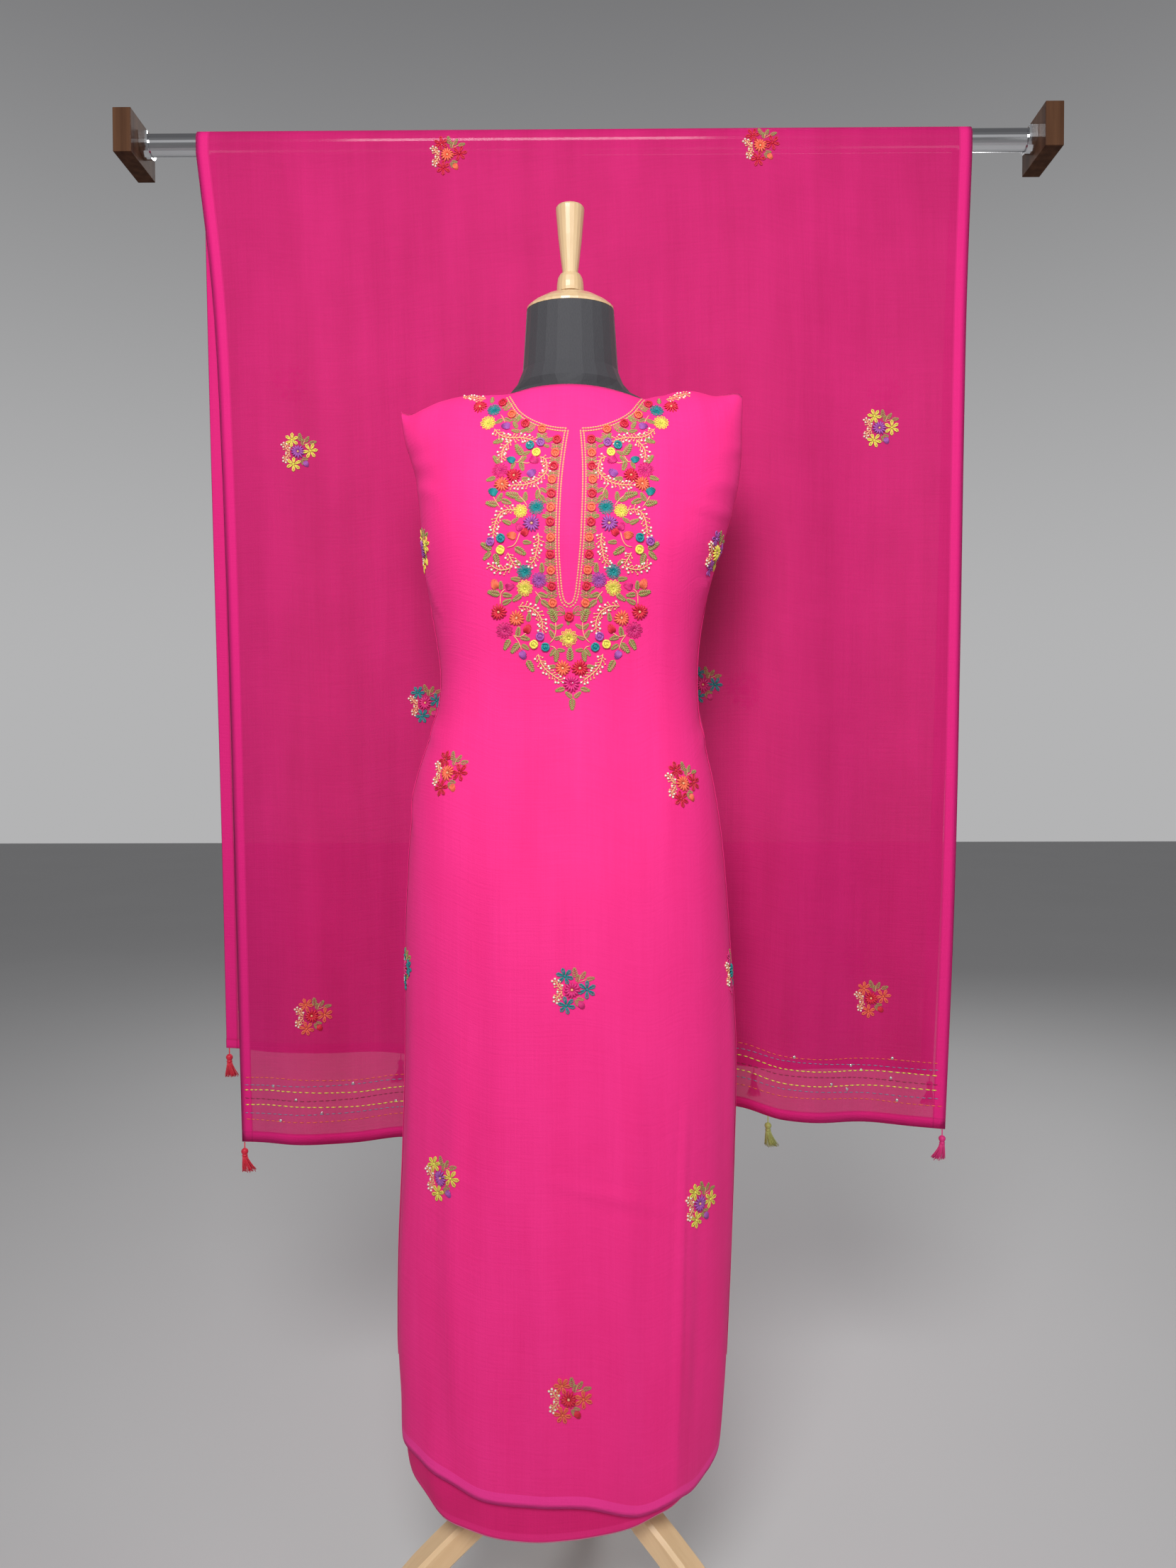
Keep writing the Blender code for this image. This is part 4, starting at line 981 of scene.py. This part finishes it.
def bevelled_box(name, low, high, radius, material):
    """A box with small rounded edges."""
    corners = [(x, y, z) for z in (low[2], high[2]) for y in (low[1], high[1]) for x in (low[0], high[0])]
    faces = ((0, 2, 3, 1), (4, 5, 7, 6), (0, 1, 5, 4), (2, 6, 7, 3), (0, 4, 6, 2), (1, 3, 7, 5))
    piece = new_piece(name, corners, faces, [material], smooth=False)
    edge = piece.modifiers.new("edge", "BEVEL")
    edge.width = radius
    edge.segments = 3
    return piece


for name, side in (("left", -1), ("right", 1)):
    node = "rod_block_" + name
    low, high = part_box(node)
    block = bevelled_box("walnut_block_" + name, low, high, 0.0009, walnut)
    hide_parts(node)

# The dupatta is one length of sheer georgette, 2.5 m by 1 m, folded over the rod. All its
# edges are turned to the inside and stitched: 16 mm at the sides and 13 mm at the ends.
FRONT_SIDES = (
    # height, left, right
    (0.510, -0.4515, 0.4555),
    (0.840, -0.4580, 0.4675),
    (1.130, -0.4635, 0.4735),
    (1.410, -0.4710, 0.4780),
    (1.600, -0.4800, 0.4820),
    (1.780, -0.4990, 0.4890),
)
BACK_SIDES = (
    (0.600, -0.4860, 0.4520),
    (0.840, -0.4880, 0.4620),
    (1.130, -0.4920, 0.4700),
    (1.410, -0.4960, 0.4760),
    (1.600, -0.4980, 0.4810),
    (1.780, -0.4990, 0.4890),
)
FRONT_FALL_HEM = (
    (-0.452, 0.509), (-0.400, 0.512), (-0.310, 0.506), (-0.240, 0.515),
    (0.000, 0.540), (0.190, 0.556), (0.250, 0.542), (0.340, 0.533), (0.456, 0.530),
)
BACK_FALL_HEM = ((-0.486, 0.620), (-0.200, 0.612), (0.150, 0.600), (0.452, 0.588))
FALL_DROP = 0.017
WRAP_RADIUS = 0.0156
WAVE_LENGTH = 0.225
FRONT_WAVE, BACK_WAVE = 0.013, 0.009
FRONT_LEAN, BACK_LEAN = 0.006, 0.004
SIDE_HEM, END_HEM = 0.016, 0.013
HEM_LAYER = 0.0006


def fall_points(back, across, down, out=0.0):
    """Points of one of the dupatta's falls; across and down run 0 to 1."""
    sides, hem = (BACK_SIDES, BACK_FALL_HEM) if back else (FRONT_SIDES, FRONT_FALL_HEM)
    top = ROD_Z - FALL_DROP - 0.0003
    rough_height = top + ((0.6 if back else 0.53) - top) * down
    left, right = read(sides, rough_height, 1), read(sides, rough_height, 2)
    x = left + (right - left) * across
    height = top + (read(hem, x) - top) * down
    loose = down ** 0.8
    phase = math.tau * x / WAVE_LENGTH
    wave = np.sin(phase + 0.9 * np.sin(2.1 * x + 0.6)) * loose
    flutter = 0.0016 * np.sin(phase * 2.3 + 1.0 + 3.0 * down) * down ** 4
    if back:
        y = WRAP_RADIUS + BACK_LEAN * loose - BACK_WAVE * wave - flutter + out
    else:
        y = -WRAP_RADIUS - FRONT_LEAN * loose - FRONT_WAVE * wave + flutter - out
    return np.stack((x, ROD_Y + y, height), axis=-1)


def dupatta_points(across, along, layer):
    """Points from the front hem at -1, over the rod at 0, to the back hem at 1."""
    over = 0.04
    front = fall_points(False, across, np.clip(-(along + over) / (1 - over), 0.0, 1.0), -layer)
    back = fall_points(True, across, np.clip((along - over) / (1 - over), 0.0, 1.0), -layer)
    bend = np.clip((along + over) / (2 * over), 0.0, 1.0)
    left, right = FRONT_SIDES[-1][1], FRONT_SIDES[-1][2]
    drop = FALL_DROP * np.clip(np.abs(bend - 0.5) * 2 - 0.75, 0.0, 0.25) / 0.25
    turn = np.pi * np.clip((bend - 0.125) / 0.75, 0.0, 1.0)
    radius = WRAP_RADIUS - layer
    wrap = np.stack((left + (right - left) * across, ROD_Y - radius * np.cos(turn),
                     ROD_Z + radius * np.sin(turn) - drop), axis=-1)
    on_rod = (np.abs(along) <= over)[..., None]
    return np.where(on_rod, wrap, np.where((along < 0)[..., None], front, back))


side_share = SIDE_HEM / 0.95
across = np.concatenate((np.linspace(side_share, 0.001, 4), np.linspace(0.0, 1.0, 121),
                         np.linspace(0.999, 1 - side_share, 4)))
side_layer = np.concatenate((np.full(4, HEM_LAYER), np.zeros(121), np.full(4, HEM_LAYER)))
end_share = END_HEM / 1.25
main = np.concatenate((np.linspace(-1.0, -0.041, 100), np.linspace(-0.04, 0.04, 25),
                       np.linspace(0.041, 1.0, 96)))
along = np.concatenate((np.linspace(-1 + end_share, -0.9995, 4), main, np.linspace(0.9995, 1 - end_share, 4)))
end_layer = np.concatenate((np.full(4, 2 * HEM_LAYER), np.zeros(len(main)), np.full(4, 2 * HEM_LAYER)))
across_at, along_at = np.meshgrid(across, along)
layer = side_layer[None, :] + end_layer[:, None]
to_side = np.minimum(across_at, 1 - across_at) * 0.95
to_end = (1 - np.abs(along_at)) * 1.25
dupatta_look, dupatta_shader, dupatta_cut, dupatta_tone = georgette(
    "sheer_pink_georgette", (0.66, 0.014, 0.175), (0.47, 0.006, 0.110), 0.04)
dupatta_edge = dupatta_cut.add("UVMap", {"uv_map": "edge"}, {})
from_side = dupatta_edge.add("SeparateXYZ", {}, {"Vector": dupatta_edge}, out=0)
from_end = dupatta_edge.add("SeparateXYZ", {}, {"Vector": dupatta_edge}, out=1)
side_hem = 1 - from_side.step(SIDE_HEM - 0.0004, SIDE_HEM + 0.0004)
end_hem = 1 - from_end.step(END_HEM - 0.0004, END_HEM + 0.0004)
in_hem = side_hem.sign("MAXIMUM", side_hem, end_hem)
side_seam = (from_side.step(SIDE_HEM - 0.0022, SIDE_HEM - 0.0010)
             - from_side.step(SIDE_HEM - 0.0006, SIDE_HEM + 0.0006))
end_seam = (from_end.step(END_HEM - 0.0022, END_HEM - 0.0010)
            - from_end.step(END_HEM - 0.0006, END_HEM + 0.0006))
seam = side_seam + end_seam
dupatta_tone = (in_hem * 0.60).between(dupatta_tone, (0.84, 0.018, 0.230))
(seam * 0.45).between(dupatta_tone, (0.45, 0.010, 0.110)).into(dupatta_shader, "Base Color")
(0.89 + in_hem * 0.10).into(dupatta_shader, "Alpha")
dupatta, dupatta_ground = cloth("dupatta_length", dupatta_points(across_at, along_at, layer), 0.0, dupatta_look,
                                np.stack((to_side, to_end), axis=-1))
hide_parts("dupatta_front_fall", "dupatta_over_rod", "dupatta_back_fall")

# Each end of the dupatta has seven rows of running stitch, in pairs of colours round a
# dark one, with a few sequins sewn between them.
STITCH_ROWS = (
    # above the hem, colour, thickness
    (0.083, "coral", 0.00070), (0.0755, "blue_grey", 0.00065), (0.067, "yellow", 0.00090),
    (0.0575, "wine", 0.00065), (0.048, "yellow", 0.00090), (0.039, "blue_grey", 0.00065),
    (0.030, "coral", 0.00070),
)
STITCH_LONG, STITCH_GAP = 0.0050, 0.0024
FRONT_SEQUINS = (
    (-0.4066, 0.074), (-0.3765, 0.058), (-0.3456, 0.041), (-0.3969, 0.030), (-0.3078, 0.078),
    (-0.2522, 0.048), (0.2627, 0.083), (0.3399, 0.074), (0.3925, 0.086), (0.3536, 0.068),
    (0.3908, 0.060), (0.3128, 0.050), (0.3346, 0.043), (0.3982, 0.032), (0.0400, 0.058),
    (-0.0900, 0.040), (-0.1700, 0.070), (0.1300, 0.034),
)
BACK_SEQUINS = tuple((-x * 0.96 + 0.01, up) for x, up in FRONT_SEQUINS)

dice = random.Random(5)
for label, back, sequins in (("front", False, FRONT_SEQUINS), ("back", True, BACK_SEQUINS)):
    hem = BACK_FALL_HEM if back else FRONT_FALL_HEM
    hand = -1 if back else 1
    rows = Needlework(dupatta_ground, 0.12)
    rows.lay_at((0.0, ROD_Y + (0.02 if back else -0.02), 0.0), (hand, 0, 0), (0, 0, 1))
    left, right = hem[0][0] + 0.004, hem[-1][0] - 0.004
    for above, colour, thick in STITCH_ROWS:
        x = left + 0.003 * dice.random()
        wander = 6.3 * dice.random()
        while x < right - STITCH_LONG:
            long = STITCH_LONG * (0.85 + 0.35 * dice.random())
            spots = []
            for share in (0.0, 0.5, 1.0):
                at = x + long * share
                lift = above + 0.0012 * math.sin(23.0 * at + wander) + 0.0004 * dice.random()
                spots.append((hand * at, float(read(hem, at)) + lift))
            rows.thread(spots, thick, colour, arch=0.0003)
            x += long + STITCH_GAP * (0.7 + 0.5 * dice.random())
    for x, above in sequins:
        rows.sequin((hand * x, float(read(hem, x)) + above), 0.0022)
    rows.made("running_stitches_" + label)

# The dupatta's scattered motifs are worked like those of the kameez, one above another in
# staggered rows down both falls, and two lie where the cloth turns over the rod.
FALL_POSIES = {
    "front": (
        # x, height, petals, heart, bud
        (-0.178, 1.775, "red", "coral", "coral"), (0.220, 1.784, "red", "coral", "coral"),
        (-0.370, 1.399, "yellow", "purple", "purple"), (0.373, 1.428, "yellow", "purple", "purple"),
        (0.000, 1.412, "yellow", "purple", "purple"), (-0.209, 1.078, "teal", "magenta", "magenta"),
        (0.1475, 1.101, "teal", "magenta", "magenta"), (-0.357, 0.676, "coral", "red", "red"),
        (0.366, 0.694, "coral", "red", "red"), (0.005, 0.688, "coral", "red", "red"),
    ),
    "back": (
        (-0.387, 1.497, "coral", "red", "red"), (0.389, 1.478, "coral", "red", "red"),
        (0.000, 1.488, "coral", "red", "red"), (-0.170, 1.110, "teal", "magenta", "magenta"),
        (0.205, 1.096, "teal", "magenta", "magenta"), (-0.386, 0.776, "yellow", "purple", "purple"),
        (0.358, 0.739, "yellow", "purple", "purple"), (-0.010, 0.760, "yellow", "purple", "purple"),
    ),
}
for label, back in (("front", False), ("back", True)):
    hand = -1 if back else 1
    posies = Needlework(dupatta_ground, 0.12)
    for number, (x, height, petals, heart, bud) in enumerate(FALL_POSIES[label]):
        middle = (x, ROD_Y + (0.02 if back else -0.02), height)
        posies.lay_at(middle, (hand, 0, 0), (0, 0, 1), 0.12 * math.sin(1.7 * number))
        posies.posy(petals, heart, bud, 0.5 * number)
    posies.made("dupatta_posies_" + label)

# Each tassel is wound from silk thread, tied under its head with a few turns of the same
# thread, cut level, and sewn to the hem by a short cord.
TASSEL_COLOURS = ("red", "teal", "yellow", "olive", "magenta")
TASSEL_PLACES = (0.004, 0.25, 0.5, 0.75, 0.996)
TASSEL_HEAD = ((0.0007, 0.0004), (0.0007, 0.0082), (0.0026, 0.0088), (0.0042, 0.0108), (0.0044, 0.0130),
               (0.0036, 0.0152), (0.0027, 0.0166), (0.0036, 0.0172), (0.0038, 0.0180), (0.0030, 0.0190))
STRANDS, STRAND_LONG = 56, 0.0195


def tassel(name, place, look, lean, dice):
    """A tassel: cord, head, tie and a skirt of strands."""
    points, faces = [], []
    sides = 14
    for radius, drop in TASSEL_HEAD:
        for side in range(sides):
            turn = math.tau * side / sides
            bumpy = radius * (1 + 0.05 * math.cos(turn * 7))
            points.append(place + Vector((bumpy * math.cos(turn), bumpy * math.sin(turn), -drop)))
    for ring in range(len(TASSEL_HEAD) - 1):
        for side in range(sides):
            high, nxt = ring * sides, (side + 1) % sides
            faces.append((high + side, high + sides + side, high + sides + nxt, high + nxt))
    faces.append(tuple(range(sides)))
    faces.append(tuple(reversed([(len(TASSEL_HEAD) - 1) * sides + side for side in range(sides)])))
    for strand in range(STRANDS):
        turn = 2.399963 * strand
        share = math.sqrt((strand + 0.5) / STRANDS)
        out = Vector((math.cos(turn), math.sin(turn), 0.0))
        long = STRAND_LONG * (0.93 + 0.09 * dice.random())
        spread = share * (0.31 + 0.06 * dice.random())
        first = len(points)
        for step in range(5):
            down = step / 4
            middle = place + out * (0.0029 * share) + Vector((0.0, 0.0, -0.0184))
            middle += out * (long * spread * down ** 1.3)
            middle += Vector((long * lean * down ** 1.5, 0.0, -long * down))
            wide = 0.00062 * (1 - 0.25 * down)
            for corner in range(4):
                edge = math.tau * (corner + 0.5) / 4 + turn
                points.append(middle + Vector((wide * math.cos(edge), wide * math.sin(edge), 0.0)))
        for step in range(4):
            for corner in range(4):
                high, nxt = first + step * 4, (corner + 1) % 4
                faces.append((high + corner, high + 4 + corner, high + 4 + nxt, high + nxt))
        faces.append(tuple(first + corner for corner in range(4)))
        faces.append(tuple(reversed([first + 16 + corner for corner in range(4)])))
    return new_piece(name, [tuple(point) for point in points], faces, [look])


for label, back in (("front", False), ("back", True)):
    for number, across_share in enumerate(TASSEL_PLACES):
        colour = TASSEL_COLOURS[number]
        spot = fall_points(back, np.array([across_share]), np.array([1.0]))[0]
        lean = 0.30 * math.cos(2.3 * number + (1.0 if back else 0.0))
        piece = tassel("tassel_skirt_{}_{}".format(label, number + 1), Vector(spot),
                       THREAD_LOOKS[THREAD_ORDER.index(colour)], lean, dice)
        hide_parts("tassel_{}_{}_{}".format(label, number + 1, colour))

# The floor is a plain pale sheet under soft studio light: a key lamp high in front, a fill
# on the right, one high behind, a low strip in front for the chrome, and a pale room.
FLOOR_HALF = 12.0
floor_mesh = bpy.data.meshes.new("floor")
floor_mesh.from_pydata([(-FLOOR_HALF, -FLOOR_HALF, 0.0), (FLOOR_HALF, -FLOOR_HALF, 0.0),
                        (FLOOR_HALF, FLOOR_HALF, 0.0), (-FLOOR_HALF, FLOOR_HALF, 0.0)], [], [(0, 1, 2, 3)])
floor = bpy.data.objects.new("floor", floor_mesh)
bpy.context.scene.collection.objects.link(floor)
floor_paint, floor_shader, floor_start = finish("pale_floor", {"Roughness": 0.75})
floor_place = floor_start.add("TexCoord", {}, {}, out=3)
floor_place.noise(0.8).between((0.66, 0.66, 0.66), (0.70, 0.70, 0.70)).into(floor_shader, "Base Color")
floor_mesh.materials.append(floor_paint)

STRIP_TALL = 0.30
LAMPS = (
    # name, place, aimed at, width, watts, spread in degrees
    ("key", (-0.20, -2.15, 2.45), (0.0, 0.0, 1.35), 1.1, 17.0, 90.0),
    ("fill", (1.9, -2.2, 1.7), (0.0, 0.0, 1.0), 1.4, 6.0, 180.0),
    ("rear", (0.6, 2.6, 2.7), (0.0, 0.0, 1.0), 1.6, 30.0, 180.0),
    ("strip", (0.0, -1.60, 0.95), (0.0, 0.0, 1.75), 3.4, 3.6, 180.0),
)
for name, place, target, width, watts, spread in LAMPS:
    light = bpy.data.lights.new(name, "AREA")
    light.shape = "RECTANGLE" if name == "strip" else "DISK"
    light.size = width
    light.size_y = STRIP_TALL
    light.energy = watts
    light.spread = math.radians(spread)
    lamp = bpy.data.objects.new(name, light)
    lamp.location = place
    lamp.rotation_mode = "QUATERNION"
    lamp.rotation_quaternion = (Vector(target) - Vector(place)).to_track_quat("-Z", "Y")
    bpy.context.scene.collection.objects.link(lamp)
room = bpy.data.worlds.new("room")
bpy.context.scene.world = room
room.use_nodes = True
room_air = room.node_tree.nodes["Background"]
air = Wire(room.node_tree)
direction = air.add("TexCoord", {}, {}, out=0)
up = air.add("SeparateXYZ", {}, {"Vector": direction}, out=2)
up.step(0.05, 0.75).between((0.95, 0.95, 0.96), (0.24, 0.24, 0.25)).into(room_air, "Color")
room_air.inputs["Strength"].default_value = 0.48
bpy.context.scene.view_settings.view_transform = "Standard"
